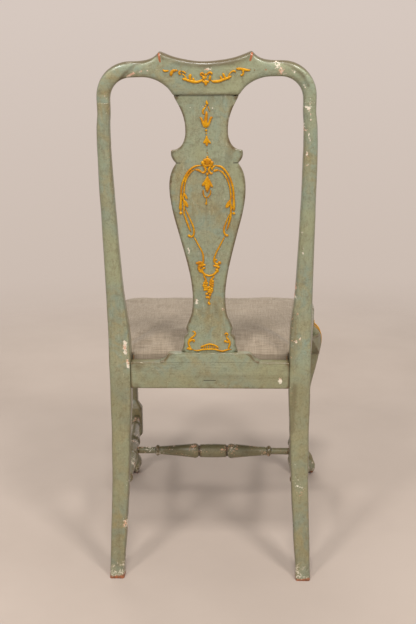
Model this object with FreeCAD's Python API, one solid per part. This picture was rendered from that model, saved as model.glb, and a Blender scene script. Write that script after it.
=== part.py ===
"""Painted side chair: crooked rear posts, eared crest rail, vase splat, cabriole front legs and a lift-out seat.

Millimetres. The front looks along -Y and +Z is up. The chair is drawn with Y = 0 at the back of the rear seat rail
and is moved along Y when it is written, so that the origin lies on the floor under the middle of the whole chair.
Left is the sitter's left, which is +X. Left pieces are drawn and the right ones are their mirror images.
"""
import FreeCAD, Part
import os
from math import asin, atan, cos, degrees, sin, sqrt

V = FreeCAD.Vector
UP = V(0, 0, 1)

# Seat rails
rear_rail_top = 425.5
front_rail_top = 434.0
rail_bottom = 372.0
seat_depth = 424.0
rear_half_width = 197.0
front_half_width = 231.0
rail_thickness = 24.0
rail_inset = 1.0
rear_rail_thickness = 34.0
ledge_depth = 12.0
ledge_width = 10.0
tenon_thickness = 8.0
tenon_length = 22.0
tenon_height = 34.0
mortise_play = 0.1
apron_drop = 13.0
apron_half = 104.0
apron_flat_half = 62.0
apron_low_bend_shares = (0.6, 0.3)
apron_high_bend_shares = (0.4, 0.7)

# Rear posts
post_width = 42.0
post_depth = 36.0
post_proud = 2.0
post_top = 905.0
post_top_outer = 191.2
post_top_width = 24.5
post_top_depth = 23.0
post_foot_width = 30.0
post_foot_depth = 30.0
post_waist = 1.8
foot_splay = 2.0
back_setback = 78.0
leg_setback = 84.0
post_corner = 4.5
post_round = 10.0
block_margin = 14.0

# Crest rail, drawn flat from the joint with the posts and then leaned back
crest_thickness = 22.0
crest_top_height = 88.4
ear_height = 105.5
ear_reach = 79.0
shoulder_radius = 61.5
shoulder_height = 89.2
loop_height = 62.5
loop_radius = 38.0
loop_reach = 112.0
ear_flank_shares = [(0.36, 0.03), (0.60, 0.16), (0.78, 0.37), (0.90, 0.64)]
splat_joint_height = 31.2
crest_edge = 6.5
edge_slack = 1.6
crest_joint_tongue = 18.0
crest_tenon_width = 12.0
crest_tenon_depth = 9.0

# Splat
splat_thickness = 9.5
splat_setback = 1.5
splat_top_half = 57.2
splat_neck_half = 37.6
splat_ear_half = 64.2
splat_tip_half = 62.0
splat_notch_half = 54.4
splat_belly_half = 69.0
splat_waist_half = 31.0
splat_flare_half = 45.4
splat_nick_half = 41.0
splat_base_half = 49.5
splat_foot_half = 56.0
splat_base_rise = 32.0
splat_nick_rise = 7.0
splat_flare_rise = 8.5
splat_waist_rise = 68.5
splat_belly_rise = 208.0
splat_notch_rise = 49.0
splat_ear_rise = 23.9
splat_neck_rise = 33.5
splat_tongue = 10.0
splat_tongue_half = 46.0
neck_curve_shares = [(0.80, 0.875), (0.43, 0.648), (0.18, 0.429), (0.034, 0.207)]
ear_curve_shares = [(0.016, 0.755), (0.086, 0.544), (0.205, 0.329), (0.455, 0.115), (0.635, 0.033), (0.82, -0.012)]
ear_flare_shares = [(0.96, 0.887), (1.0, 0.72), (0.98, 0.56), (0.88, 0.414), (0.69, 0.264), (0.42, 0.113)]
base_curve_out_share = 0.25
base_curve_down_share = 0.55
belly_start_shares = [(0.60, 0.275), (0.845, 0.502)]
flare_curve_shares = [(0.065, 0.30), (0.19, 0.51), (0.43, 0.67), (0.70, 0.80)]
vase_shares = [(0.04, 0.10), (0.20, 0.26), (0.43, 0.426), (0.655, 0.596), (0.86, 0.768), (0.958, 0.884)]

# Shoe under the splat
shoe_height = 18.5
shoe_half = 95.0
shoe_top_half = 76.0
shoe_depth = 23.0
shoe_top_depth = 17.0
shoe_side_share = 0.14
shoe_end_shares = [(0.30, 0.07), (0.50, 0.30), (0.68, 0.70), (0.84, 0.93)]

# Front legs
leg_block = 46.0
knee_size = 66.0
knee_round = 11.0
block_top_edge = 1.5
foot_radius = 27.5
foot_centre_height = 25.5
foot_out = 29.5
foot_forward = 38.0
leg_bend_share = 0.46
knee_start_share = 0.38
stretcher_pad_width = 28.0
stretcher_pad_depth = 25.0
stretcher_pad_proud = 8.0
stretcher_pad_inner = 7.0
stretcher_pad_half_height = 33.0
stretcher_pad_fade = 22.0
stretcher_pad_drop = 10.0
pad_round = 5.0
pad_fade_round_share = 0.5

# Knee blocks
wing_length = 44.0
wing_height = 50.0
wing_bulge = 16.0
wing_tip = 6.0
wing_shares = [(-0.12, 1.0, 1.0), (0.12, 0.86, 0.88), (0.45, 0.42, 0.42), (1.0, 0.0, 0.0)]

# Stretchers
stretcher_height = 161.0
stretcher_rear_inset = 26.0
stretcher_front_inset = 40.5
side_stretcher_radius = 15.0
medial_radius = 15.1
medial_set = 180.0
round_tenon_radius = 5.5
round_tenon_length = 15.0
round_tenon_play = 0.08

# Corner braces and their screws
brace_reach_front = 62.0
brace_reach_rear = 56.0
brace_height = 26.0
brace_drop = 6.0
screw_place_share = 0.42
screw_radius = 2.2
screw_head_radius = 4.2
screw_head_depth = 3.0
screw_length = 38.0
screw_grip = 22.0
screw_play = 0.06

# Lift-out seat
seat_play = 1.6
seat_frame_thickness = 16.0
seat_frame_width = 52.0
seat_tenon_thickness = 6.0
seat_tenon_length = 18.0
seat_tenon_width = 30.0
cover_thickness = 1.2
cover_margin = 24.0
webbing_thickness = 1.5
webbing_width = 50.0
webbing_pitch = 88.0
webbing_turn = 26.0
webbing_end_inset = 6.0
tack_spread_share = 0.66
tack_head_radius = 3.6
tack_head_depth = 1.0
tack_shank_radius = 0.9
tack_length = 9.0
tack_play = 0.05
cover_tack_inset = 17.0
cover_tack_pitch = 62.0
hessian_thickness = 0.8
crown_height = 20.0
seat_corner_radius = 5.0
crown_corner_radius = 42.0
crown_corner_share = 1.6
stuffing_room = 0.35

# How far cutting shapes run past what they cut
overrun = 400.0


def face_of(edges):
    """Flat face inside a closed set of edges."""
    return Part.Face(Part.Wire(Part.__sortEdges__(edges)))


def line(start, end):
    """Straight edge."""
    return Part.LineSegment(start, end).toShape()


def arc(start, middle, end):
    """Round edge through three points."""
    return Part.Arc(start, middle, end).toShape()


def box(low, high):
    """Box between two corners."""
    size = high - low
    return Part.makeBox(size.x, size.y, size.z, low)


def prism(points, height):
    """Upright prism on a plan outline."""
    closed = points + [points[0]]
    return Part.Face(Part.makePolygon(closed)).extrude(UP * height)


def mirrored(shape):
    """The same piece on the other side of the chair."""
    return shape.mirror(V(0, 0, 0), V(1, 0, 0))


def section(x_low, x_high, y_low, y_high, z, radius):
    """Level rounded rectangle, always started at the same corner."""
    bend = radius * (1 - sqrt(0.5))
    x_in = [x_low + radius, x_high - radius]
    y_in = [y_low + radius, y_high - radius]
    edges = [
        line(V(x_in[0], y_low, z), V(x_in[1], y_low, z)),
        arc(V(x_in[1], y_low, z), V(x_high - bend, y_low + bend, z), V(x_high, y_in[0], z)),
        line(V(x_high, y_in[0], z), V(x_high, y_in[1], z)),
        arc(V(x_high, y_in[1], z), V(x_high - bend, y_high - bend, z), V(x_in[1], y_high, z)),
        line(V(x_in[1], y_high, z), V(x_in[0], y_high, z)),
        arc(V(x_in[0], y_high, z), V(x_low + bend, y_high - bend, z), V(x_low, y_in[1], z)),
        line(V(x_low, y_in[1], z), V(x_low, y_in[0], z)),
        arc(V(x_low, y_in[0], z), V(x_low + bend, y_low + bend, z), V(x_in[0], y_low, z)),
    ]
    return Part.Wire(edges)


def smooth_loft(sections):
    """Solid through level sections."""
    return Part.makeLoft(sections, True, False)


# The rear post's three stretches: leg, straight block at the seat, and upright.
# Each row: height, width, depth and set-back as shares between the block (0) and the end (1), then roundness.
block_low = rail_bottom - block_margin
block_high = rear_rail_top + shoe_height
post_front = post_proud - post_depth
post_middle = post_proud - post_depth / 2
upright_shares = [
    (0.14, 0.14, 0.10, 0.077, 0.45),
    (0.28, 0.46, 0.28, 0.210, 0.80),
    (0.42, 0.61, 0.46, 0.353, 1.00),
    (0.58, 0.72, 0.64, 0.532, 1.00),
    (0.75, 0.82, 0.80, 0.722, 1.00),
    (0.88, 0.90, 0.92, 0.868, 0.95),
    (1.00, 1.00, 1.00, 1.000, 0.85),
]
upright_inset_shares = [0.0, 0.0, 0.0, 0.0, 0.0, 0.12, 1.0]
leg_shares = [
    (0.16, 0.26, 0.12, 0.070, 0.10),
    (0.33, 0.44, 0.36, 0.240, 0.15),
    (0.50, 0.64, 0.55, 0.417, 0.20),
    (0.665, 0.78, 0.72, 0.607, 0.20),
    (0.832, 0.91, 0.88, 0.804, 0.20),
    (1.00, 1.00, 1.00, 1.000, 0.20),
]
leg_waist_shares = [0.45, 0.85, 1.0, 0.7, 0.1, 0.0]


def between(start, end, share):
    """Value that lies a share of the way from start to end."""
    return start + (end - start) * share


def post_radius(share):
    """Corner radius of the post, from squarish to well rounded."""
    return between(post_corner, post_round, share)


def upright_stations():
    """Height, outer side, width, depth, middle and corner radius along the upright."""
    rows = []
    for (up, wide, deep, back, soft), inset in zip(upright_shares, upright_inset_shares):
        rows.append((
            between(block_high, post_top, up),
            between(rear_half_width, post_top_outer, inset),
            between(post_width, post_top_width, wide),
            between(post_depth, post_top_depth, deep),
            post_middle + back_setback * back,
            post_radius(soft),
        ))
    return rows


def leg_stations():
    """The same, down the rear leg to the floor."""
    rows = []
    for (down, wide, deep, back, soft), waist in zip(leg_shares, leg_waist_shares):
        rows.append((
            between(block_low, 0, down),
            rear_half_width - post_waist * waist + foot_splay * down ** 3,
            between(post_width, post_foot_width, wide),
            between(post_depth, post_foot_depth, deep),
            post_middle + leg_setback * back,
            post_radius(soft),
        ))
    return rows


def post_section(height, outer, width, depth, middle, radius):
    """One level section of the left rear post."""
    return section(outer - width, outer, middle - depth / 2, middle + depth / 2, height, radius)


def block_section(height):
    """Section of the straight block at the seat."""
    return post_section(height, rear_half_width, post_width, post_depth, post_middle, post_corner)


def rear_post_body():
    """Left rear post before its mortises are cut."""
    block = Part.Face(block_section(block_low)).extrude(UP * (block_high - block_low))
    upright = [block_section(block_high - block_margin), block_section(block_high)]
    upright += [post_section(*row) for row in upright_stations()]
    leg = [block_section(block_low + block_margin), block_section(block_low)]
    leg += [post_section(*row) for row in leg_stations()]
    leg.reverse()
    return block.fuse([smooth_loft(upright), smooth_loft(leg)]).removeSplitter()


# The crest rail leans as the last stretch of the upright does.
last_row, end_row = upright_shares[-2], upright_shares[-1]
lean_run = back_setback * (end_row[3] - last_row[3])
lean_rise = (post_top - block_high) * (end_row[0] - last_row[0])
crest_lean = atan(lean_run / lean_rise)
joint_middle = post_middle + back_setback


def leaned(shape):
    """Carries a shape from the crest rail's flat drawing to its place."""
    shape.rotate(V(0, 0, 0), V(1, 0, 0), -degrees(crest_lean))
    shape.translate(V(0, joint_middle, post_top))
    return shape


def flat(x, height):
    """Point of the crest rail's flat drawing, on its front face."""
    return V(x, -crest_thickness / 2, height)


def both_sides(edges):
    """Edges and their mirror images."""
    return edges + [mirrored(edge) for edge in edges]


def level_arc(x, z, end_x, end_z):
    """Round edge of the crest rail's drawing that leaves its first point level."""
    run = end_x - x
    rise = end_z - z
    radius = (run ** 2 + rise ** 2) / (2 * rise)
    half = asin(run / radius) / 2
    return arc(flat(x, z), flat(x + radius * sin(half), z + radius * (1 - cos(half))), flat(end_x, end_z))


def ear_flank(start_x):
    """Outer flank of an ear: nearly level from the shoulder, then sweeping up to the tip."""
    points = [flat(start_x, shoulder_height)]
    for inward, up in ear_flank_shares:
        points.append(flat(between(start_x, ear_reach, inward), between(shoulder_height, ear_height, up)))
    points.append(flat(ear_reach, ear_height))
    flank = Part.BSplineCurve()
    flank.interpolate(points)
    return flank.toShape()


def crest_outline():
    """Half outline of the crest rail from the top middle to the bottom middle."""
    inner = post_top_outer - post_top_width
    top_x = post_top_outer - shoulder_radius
    top_z = shoulder_height - shoulder_radius
    loop_x = inner - loop_radius
    loop_z = loop_height - loop_radius
    diagonal = sqrt(0.5)
    return [
        level_arc(0, crest_top_height, ear_reach, ear_height),
        ear_flank(top_x),
        arc(flat(top_x, shoulder_height),
            flat(top_x + shoulder_radius * diagonal, top_z + shoulder_radius * diagonal),
            flat(post_top_outer, top_z)),
        line(flat(post_top_outer, top_z), flat(post_top_outer, -crest_joint_tongue)),
        line(flat(post_top_outer, -crest_joint_tongue), flat(inner, -crest_joint_tongue)),
        line(flat(inner, -crest_joint_tongue), flat(inner, loop_z)),
        arc(flat(inner, loop_z),
            flat(loop_x + loop_radius * diagonal, loop_z + loop_radius * diagonal),
            flat(loop_x, loop_height)),
        line(flat(loop_x, loop_height), flat(loop_reach, loop_height)),
        level_arc(loop_reach, loop_height, splat_top_half, splat_joint_height),
        line(flat(splat_top_half, splat_joint_height), flat(0, splat_joint_height)),
    ]


def crest_body():
    """Crest rail with softened edges, cut level where it stands on the posts."""
    board = face_of(both_sides(crest_outline())).extrude(V(0, crest_thickness, 0))
    soft = []
    for edge in board.Edges:
        ends = edge.BoundBox
        level = ends.YLength < edge_slack
        low = ends.ZMax < splat_joint_height + edge_slack and ends.XLength > splat_top_half
        foot = ends.ZMax < edge_slack
        if level and not low and not foot:
            soft.append(edge)
    board = board.makeFillet(crest_edge, soft)
    below = box(V(-overrun, -overrun, post_top - overrun), V(overrun, overrun, post_top))
    return leaned(board).cut(below)


def crest_joint_middle():
    """Where the splat's top meets the crest rail: set-back and height."""
    return (joint_middle + splat_joint_height * sin(crest_lean), post_top + splat_joint_height * cos(crest_lean))


def back_line():
    """Set-back of the back's middle plane against height, from the shoe to above the crest joint."""
    points = [(post_middle, block_high - block_margin), (post_middle, block_high)]
    points += [(row[4], row[0]) for row in upright_stations()]
    joint = crest_joint_middle()
    rise = 2 * splat_tongue
    points.append((joint[0] + rise * sin(crest_lean), joint[1] + rise * cos(crest_lean)))
    return points


def splat_slab():
    """Board of the splat's thickness that follows the posts' curve, as wide as the chair."""
    rear = [V(-overrun, y + splat_setback + splat_thickness / 2, z) for y, z in back_line()]
    front = [V(-overrun, y + splat_setback - splat_thickness / 2, z) for y, z in back_line()]
    curves = []
    for points in (rear, front):
        spline = Part.BSplineCurve()
        spline.interpolate(points)
        curves.append(spline.toShape())
    ends = [line(rear[0], front[0]), line(rear[-1], front[-1])]
    return face_of(curves + ends).extrude(V(2 * overrun, 0, 0))


def splat_outline():
    """Half outline of the splat between the shoe and the crest rail, from its top down."""
    low = -overrun / 2
    top = crest_joint_middle()[1]
    foot = block_high
    base = foot + splat_base_rise
    nick = base + splat_nick_rise
    flare = nick + splat_flare_rise
    waist = flare + splat_waist_rise
    belly = waist + splat_belly_rise
    notch = belly + splat_notch_rise
    ear = notch + splat_ear_rise
    neck = ear + splat_neck_rise

    def at(x, z):
        return V(x, low, z)

    def between_points(shares, half, wide_half, low_z, high_z):
        return [at(between(half, wide_half, out), between(low_z, high_z, up)) for out, up in shares]

    neck_curve = Part.BSplineCurve()
    points = [at(splat_top_half, top)]
    points += between_points(neck_curve_shares, splat_neck_half, splat_top_half, neck, top)
    points.append(at(splat_neck_half, neck))
    points += between_points(ear_curve_shares, splat_neck_half, splat_tip_half, ear, neck)
    points.append(at(splat_tip_half, ear))
    neck_curve.interpolate(points)
    ear_curve = Part.BSplineCurve()
    points = [at(splat_tip_half, ear)]
    points += between_points(ear_flare_shares, splat_notch_half, splat_ear_half, notch, ear)
    points.append(at(splat_notch_half, notch))
    ear_curve.interpolate(points)
    vase = Part.BSplineCurve()
    points = [at(splat_notch_half, notch)]
    for out, down in belly_start_shares:
        points.append(at(between(splat_notch_half, splat_belly_half, out), between(notch, belly, down)))
    points.append(at(splat_belly_half, belly))
    for inward, down in vase_shares:
        points.append(at(between(splat_belly_half, splat_waist_half, inward), between(belly, waist, down)))
    points.append(at(splat_waist_half, waist))
    for out, down in flare_curve_shares:
        points.append(at(between(splat_waist_half, splat_flare_half, out), between(waist, flare, down)))
    points.append(at(splat_flare_half, flare))
    vase.interpolate(points)
    return [
        line(at(0, top + splat_tongue), at(splat_top_half, top + splat_tongue)),
        line(at(splat_top_half, top + splat_tongue), at(splat_top_half, top)),
        neck_curve.toShape(),
        ear_curve.toShape(),
        vase.toShape(),
        line(at(splat_flare_half, flare), at(splat_nick_half, nick)),
        line(at(splat_nick_half, nick), at(splat_base_half, base)),
        arc(at(splat_base_half, base),
            at(between(splat_base_half, splat_foot_half, base_curve_out_share),
               between(base, foot, base_curve_down_share)),
            at(splat_foot_half, foot)),
        line(at(splat_foot_half, foot), at(0, foot)),
    ]


def splat_body():
    """Splat without its tongues."""
    board = face_of(both_sides(splat_outline())).extrude(V(0, overrun, 0))
    return board.common(splat_slab())


def splat_tongue_box(low, high):
    """Upright strip of the splat's slab that makes a tongue between two heights."""
    strip = box(V(-splat_tongue_half, -overrun, low), V(splat_tongue_half, overrun, high))
    return strip.common(splat_slab())


def shoe_body():
    """Shoe with waved ends, standing on the rear rail behind the seat."""
    low, high = rear_rail_top, rear_rail_top + shoe_height
    rise = shoe_height * shoe_side_share
    points = [V(shoe_half, -shoe_depth, low + rise)]
    for inward, up in shoe_end_shares:
        points.append(V(between(shoe_half, shoe_top_half, inward), -shoe_depth, between(low + rise, high, up)))
    points.append(V(shoe_top_half, -shoe_depth, high))
    end = Part.BSplineCurve()
    end.interpolate(points)
    ends = [
        line(V(0, -shoe_depth, low), V(shoe_half, -shoe_depth, low)),
        line(V(shoe_half, -shoe_depth, low), V(shoe_half, -shoe_depth, low + rise)),
        end.toShape(),
        line(V(shoe_top_half, -shoe_depth, high), V(0, -shoe_depth, high)),
    ]
    block = face_of(both_sides(ends)).extrude(V(0, shoe_depth, 0))
    slope = [
        V(-overrun, -shoe_depth, low + rise),
        V(-overrun, -shoe_top_depth, high),
        V(-overrun, -overrun, high),
        V(-overrun, -overrun, low + rise),
    ]
    front = Part.Face(Part.makePolygon(slope + [slope[0]])).extrude(V(2 * overrun, 0, 0))
    return block.cut(front)


# Plan of the side rails: their outer face runs straight from the post to the front leg.
leg_rear = leg_block - seat_depth
leg_inner = front_half_width - leg_block
side_rear = V(rear_half_width - rail_inset, post_front, 0)
side_front = V(front_half_width - rail_inset, leg_rear, 0)
side_slope = (side_front.x - side_rear.x) / (side_front.y - side_rear.y)
side_angle = atan(-side_slope)
rail_cross = rail_thickness / cos(side_angle)
seat_tilt = atan((front_rail_top - rear_rail_top) / seat_depth)


def side_outer(y):
    """Outer side of the side rail at a place along the chair."""
    return side_rear.x + side_slope * (y - side_rear.y)


def side_inner(y):
    """Inner side of the side rail."""
    return side_outer(y) - rail_cross


def tilted(shape):
    """Carries a shape from the level drawing of the seat to its tilt, ledge height at Y = 0."""
    shape.rotate(V(0, 0, 0), V(1, 0, 0), -degrees(seat_tilt))
    shape.translate(V(0, 0, rear_rail_top - ledge_depth))
    return shape


def above_rails():
    """Everything above the rails' sloping top line."""
    return tilted(box(V(-overrun, -2 * overrun, ledge_depth), V(overrun, overrun, ledge_depth + overrun)))


# Plan of the lift-out seat's pocket, drawn level.
pocket_rear = -shoe_depth - rail_inset
pocket_front = rail_thickness - ledge_width - seat_depth
pocket_step = rail_cross - ledge_width


def seat_plan(inset):
    """Corners of the seat's plan, moved in by inset from the pocket's walls."""
    rear = pocket_rear - inset
    front = pocket_front + inset
    return [(side_outer(y) - pocket_step - inset / cos(side_angle), y) for y in (rear, front)]


def seat_slab(inset, low, high):
    """Level prism of the seat's plan."""
    (rear_x, rear_y), (front_x, front_y) = seat_plan(inset)
    points = [V(-rear_x, rear_y, low), V(rear_x, rear_y, low), V(front_x, front_y, low), V(-front_x, front_y, low)]
    return prism(points, high - low)


def post_notches(play):
    """Room for both rear posts in the seat's rear corners, level drawing."""
    left = box(V(rear_half_width - post_width - play, post_front - play, -overrun), V(overrun, overrun, overrun))
    return [left, mirrored(left)]


def rail_pocket():
    """The space that the rails leave open for the seat."""
    return tilted(seat_slab(0, 0, overrun))


def rail_tenon(low, high):
    """Tenon box with the heights of the rail joints."""
    middle = (rail_bottom + rear_rail_top - ledge_depth) / 2
    return box(V(low.x, low.y, middle - tenon_height / 2), V(high.x, high.y, middle + tenon_height / 2))


def grown(shape_low, shape_high, play):
    """Tenon box with room at its sides, for its mortise."""
    room = V(play, play, 0)
    return rail_tenon(shape_low - room, shape_high + room)


def tenon_and_mortise(low, high):
    """A rail tenon between two plan corners, and the slightly larger hole for it."""
    return rail_tenon(low, high), grown(low, high, mortise_play)


def rear_rail_joint():
    """Left end joint of the rear rail."""
    face = rear_half_width - post_width
    middle = -rear_rail_thickness / 2
    low = V(face - tenon_length, middle - tenon_thickness / 2, 0)
    high = V(face + tenon_length, middle + tenon_thickness / 2, 0)
    return tenon_and_mortise(low, high)


def side_rail_joints():
    """Rear and front joints of the left side rail."""
    half = tenon_thickness / 2
    rear_x = side_rear.x - rail_cross / 2
    front_x = side_front.x - rail_cross / 2
    rear = tenon_and_mortise(V(rear_x - half, post_front - tenon_length, 0),
                             V(rear_x + half, post_front + tenon_length, 0))
    front = tenon_and_mortise(V(front_x - half, leg_rear - tenon_length, 0),
                              V(front_x + half, leg_rear + tenon_length, 0))
    return rear, front


def front_rail_joint():
    """Left end joint of the front rail."""
    middle = rail_inset + rail_thickness / 2 - seat_depth
    low = V(leg_inner - tenon_length, middle - tenon_thickness / 2, 0)
    high = V(leg_inner + tenon_length, middle + tenon_thickness / 2, 0)
    return tenon_and_mortise(low, high)


def side_rail_body():
    """Left side rail before its tenons."""
    points = [
        V(side_rear.x, side_rear.y, rail_bottom),
        V(side_front.x, side_front.y, rail_bottom),
        V(side_front.x - rail_cross, side_front.y, rail_bottom),
        V(side_rear.x - rail_cross, side_rear.y, rail_bottom),
    ]
    return prism(points, overrun / 2).cut([above_rails(), rail_pocket()])


def front_rail_body():
    """Front rail whose lower edge drops in the middle between two double curves."""
    face = rail_inset - seat_depth
    low = rail_bottom - apron_drop
    high = rail_bottom + overrun / 2
    half_x = (apron_flat_half + apron_half) / 2
    half_z = (low + rail_bottom) / 2
    low_out, low_up = apron_low_bend_shares
    high_out, high_up = apron_high_bend_shares
    edge = [
        line(V(0, face, low), V(apron_flat_half, face, low)),
        arc(V(apron_flat_half, face, low),
            V(between(apron_flat_half, half_x, low_out), face, between(low, half_z, low_up)),
            V(half_x, face, half_z)),
        arc(V(half_x, face, half_z),
            V(between(half_x, apron_half, high_out), face, between(half_z, rail_bottom, high_up)),
            V(apron_half, face, rail_bottom)),
        line(V(apron_half, face, rail_bottom), V(leg_inner, face, rail_bottom)),
        line(V(leg_inner, face, rail_bottom), V(leg_inner, face, high)),
        line(V(leg_inner, face, high), V(0, face, high)),
    ]
    board = face_of(both_sides(edge)).extrude(V(0, rail_thickness, 0))
    return board.cut([above_rails(), rail_pocket()])


def rear_rail_body():
    """Rear rail, thicker below the seat's ledge."""
    half = rear_half_width - post_width
    board = box(V(-half, -rear_rail_thickness, rail_bottom), V(half, 0, rail_bottom + overrun / 2))
    top = box(V(-overrun, -overrun, rear_rail_top), V(overrun, overrun, rear_rail_top + overrun))
    step = tilted(box(V(-overrun, -overrun, 0), V(overrun, pocket_rear, overrun)))
    return board.cut([top, step])


# Front leg stations below the square block: height, near side and far side of each section as shares
# of the knee's size, then how far the section moves forward, as a share of the foot's forward step.
front_leg_shares = [
    (1.000, 0.00, 0.70, 0.00, 0.10),
    (0.978, 0.00, 0.80, 0.00, 0.45),
    (0.948, 0.01, 0.94, 0.00, 0.85),
    (0.905, 0.02, 1.00, 0.00, 1.00),
    (0.815, 0.03, 0.93, 0.00, 1.00),
    (0.718, 0.05, 0.80, 0.00, 0.90),
    (0.635, 0.06, 0.69, 0.00, 0.80),
    (0.560, 0.07, 0.60, 0.00, 0.75),
    (0.450, 0.07, 0.52, 0.02, 0.70),
    (0.350, 0.09, 0.51, 0.10, 0.75),
    (0.250, 0.12, 0.53, 0.22, 0.80),
    (0.180, 0.16, 0.56, 0.42, 0.80),
    (0.130, 0.18, 0.60, 0.68, 0.80),
    (0.085, 0.14, 0.70, 0.90, 1.00),
]
knee_start = between(rail_bottom, front_rail_top - ledge_depth, knee_start_share)


def front_leg_body():
    """Left front leg: square top, knee, ankle, ball foot and the pad that takes the side stretcher."""
    step = foot_forward - foot_out
    sections = []
    for height, near, far, forward, soft in reversed(front_leg_shares):
        x_low = leg_inner + knee_size * near
        x_high = leg_inner + knee_size * far
        y_high = leg_rear - knee_size * near - step * forward
        y_low = leg_rear - knee_size * far - step * forward
        radius = min(knee_round * soft, (x_high - x_low) * leg_bend_share) + block_top_edge
        sections.append(section(x_low, x_high, y_low, y_high, knee_start * height, radius))
    leg = smooth_loft(sections)
    block = Part.Face(sections[-1]).extrude(UP * overrun)
    ball = Part.makeSphere(foot_radius, V(leg_inner + foot_out, leg_rear - foot_forward, foot_centre_height))
    floor = box(V(0, -2 * overrun, -overrun), V(2 * overrun, overrun, 0))
    top = above_rails()
    return leg.fuse([block, ball, stretcher_pad()]).removeSplitter().cut([top, rail_pocket(), floor])


def stretcher_pad():
    """Raised pad behind the left front leg, into which the side stretcher goes."""
    x_low = leg_inner - stretcher_pad_inner
    y_high = leg_rear + stretcher_pad_proud
    middle = stretcher_height - stretcher_pad_drop
    rows = [
        (middle - stretcher_pad_half_height - stretcher_pad_fade, 1),
        (middle - stretcher_pad_half_height, 0),
        (middle + stretcher_pad_half_height, 0),
        (middle + stretcher_pad_half_height + stretcher_pad_fade, 1),
    ]
    sections = []
    for z, fade in rows:
        shift = fade * (stretcher_pad_inner + stretcher_pad_proud)
        radius = pad_round * (1 - fade * pad_fade_round_share)
        sections.append(section(x_low + shift, x_low + stretcher_pad_width, y_high - stretcher_pad_depth,
                                y_high - shift, z, radius))
    return Part.makeLoft(sections, True, True)


def knee_wing(corner, along, outward):
    """Knee block under a rail: deep and swelling at the leg, thin at its tip."""
    wires = []
    for run, deep, swell in wing_shares:
        drop = between(wing_tip, wing_height, deep)
        start = corner + along * (wing_length * run)
        face = start + outward * (wing_bulge * swell)
        back = start - outward * (rail_thickness - rail_inset)
        low = UP * -drop
        wires.append(Part.makePolygon([back, face, face + low, back + low, back]))
    return Part.makeLoft(wires, True, False)


# Turned profile, outward from the middle. Lengths are shares of the half length and radii of the largest radius.
barrel_end_share = 0.172
neck_share = 0.184
bulb_share = 0.265
taper_end_share = 0.715
ring_share = 0.740
ring_end_share = 0.765
bulb_start_along_share = 0.2
bulb_start_share = 0.90
taper_bow_along_share = 0.50
taper_bow_share = 0.57
barrel_bow_share = 0.99
barrel_edge_share = 0.95
neck_radius_share = 0.66
bulb_radius_share = 1.04
taper_radius_share = 0.60
ring_radius_share = 0.80
end_radius_share = 0.48


def turned_stretcher(half_length, radius, stub):
    """Stretcher along X: barrel between necks, long tapering bulbs, rings and plain ends with a stub beyond."""
    def at(length_share, radius_share):
        return V(half_length * length_share, 0, radius * radius_share)

    bow_share = between(bulb_radius_share, taper_radius_share, taper_bow_share)
    bow_place_share = between(bulb_share, taper_end_share, taper_bow_along_share)
    bulb_place_share = between(neck_share, bulb_share, bulb_start_along_share)
    end = half_length + stub
    edges = [
        arc(V(0, 0, radius), at(barrel_end_share / 2, barrel_bow_share), at(barrel_end_share, barrel_edge_share)),
        line(at(barrel_end_share, barrel_edge_share), at(neck_share, neck_radius_share)),
        arc(at(neck_share, neck_radius_share), at(bulb_place_share, bulb_start_share),
            at(bulb_share, bulb_radius_share)),
        arc(at(bulb_share, bulb_radius_share), at(bow_place_share, bow_share),
            at(taper_end_share, taper_radius_share)),
        arc(at(taper_end_share, taper_radius_share), at(ring_share, ring_radius_share),
            at(ring_end_share, end_radius_share)),
        line(at(ring_end_share, end_radius_share), at(1, end_radius_share)),
        line(at(1, end_radius_share), V(end, 0, radius * end_radius_share)),
        line(V(end, 0, radius * end_radius_share), V(end, 0, 0)),
        line(V(end, 0, 0), V(0, 0, 0)),
        line(V(0, 0, 0), V(0, 0, radius)),
    ]
    half = face_of(edges).revolve(V(0, 0, 0), V(1, 0, 0), 360)
    return half.fuse(mirrored(half)).removeSplitter()


def biggest(shape):
    """Largest solid of a shape, without offcuts."""
    return max(shape.Solids, key=lambda solid: solid.Volume)


def post_middle_at(height):
    """Set-back of the rear leg's middle at a height below the seat."""
    rows = [(block_low, post_middle)] + [(row[0], row[4]) for row in leg_stations()]
    for (high, start), (low, end) in zip(rows, rows[1:]):
        if height >= low:
            return between(start, end, (high - height) / (high - low))
    return rows[-1][1]


def side_stretcher_point(y):
    """Point of the left side stretcher's axis at a place along the chair."""
    share = (y - stretcher_rear_y) / (stretcher_front_y - stretcher_rear_y)
    rear_x = rear_half_width - stretcher_rear_inset
    front_x = front_half_width - stretcher_front_inset
    return V(between(rear_x, front_x, share), y, stretcher_height)


stretcher_rear_y = post_middle_at(stretcher_height) - post_foot_depth / 2
stretcher_front_y = leg_rear + stretcher_pad_proud


def rod(start, end, radius):
    """Straight round rod between two points."""
    run = end - start
    return Part.makeCylinder(radius, run.Length, start, run)


def side_stretcher(post, leg):
    """Left side stretcher fitted between its post and leg, and the room for its tenons."""
    rear = side_stretcher_point(stretcher_rear_y)
    front = side_stretcher_point(stretcher_front_y)
    run = front - rear
    body = turned_stretcher(run.Length / 2, side_stretcher_radius, round_tenon_length)
    body.rotate(V(0, 0, 0), UP, -degrees(atan(-run.y / run.x)))
    body.translate((front + rear) / 2)
    body = biggest(body.cut([post, leg]))
    start = side_stretcher_point(stretcher_rear_y + round_tenon_length)
    end = side_stretcher_point(stretcher_front_y - round_tenon_length)
    beyond = (end - start).normalize() * round_tenon_play
    tenon = rod(start, end, round_tenon_radius)
    room = rod(start - beyond, end + beyond, round_tenon_radius + round_tenon_play)
    return body.fuse(tenon).removeSplitter(), room


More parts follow.
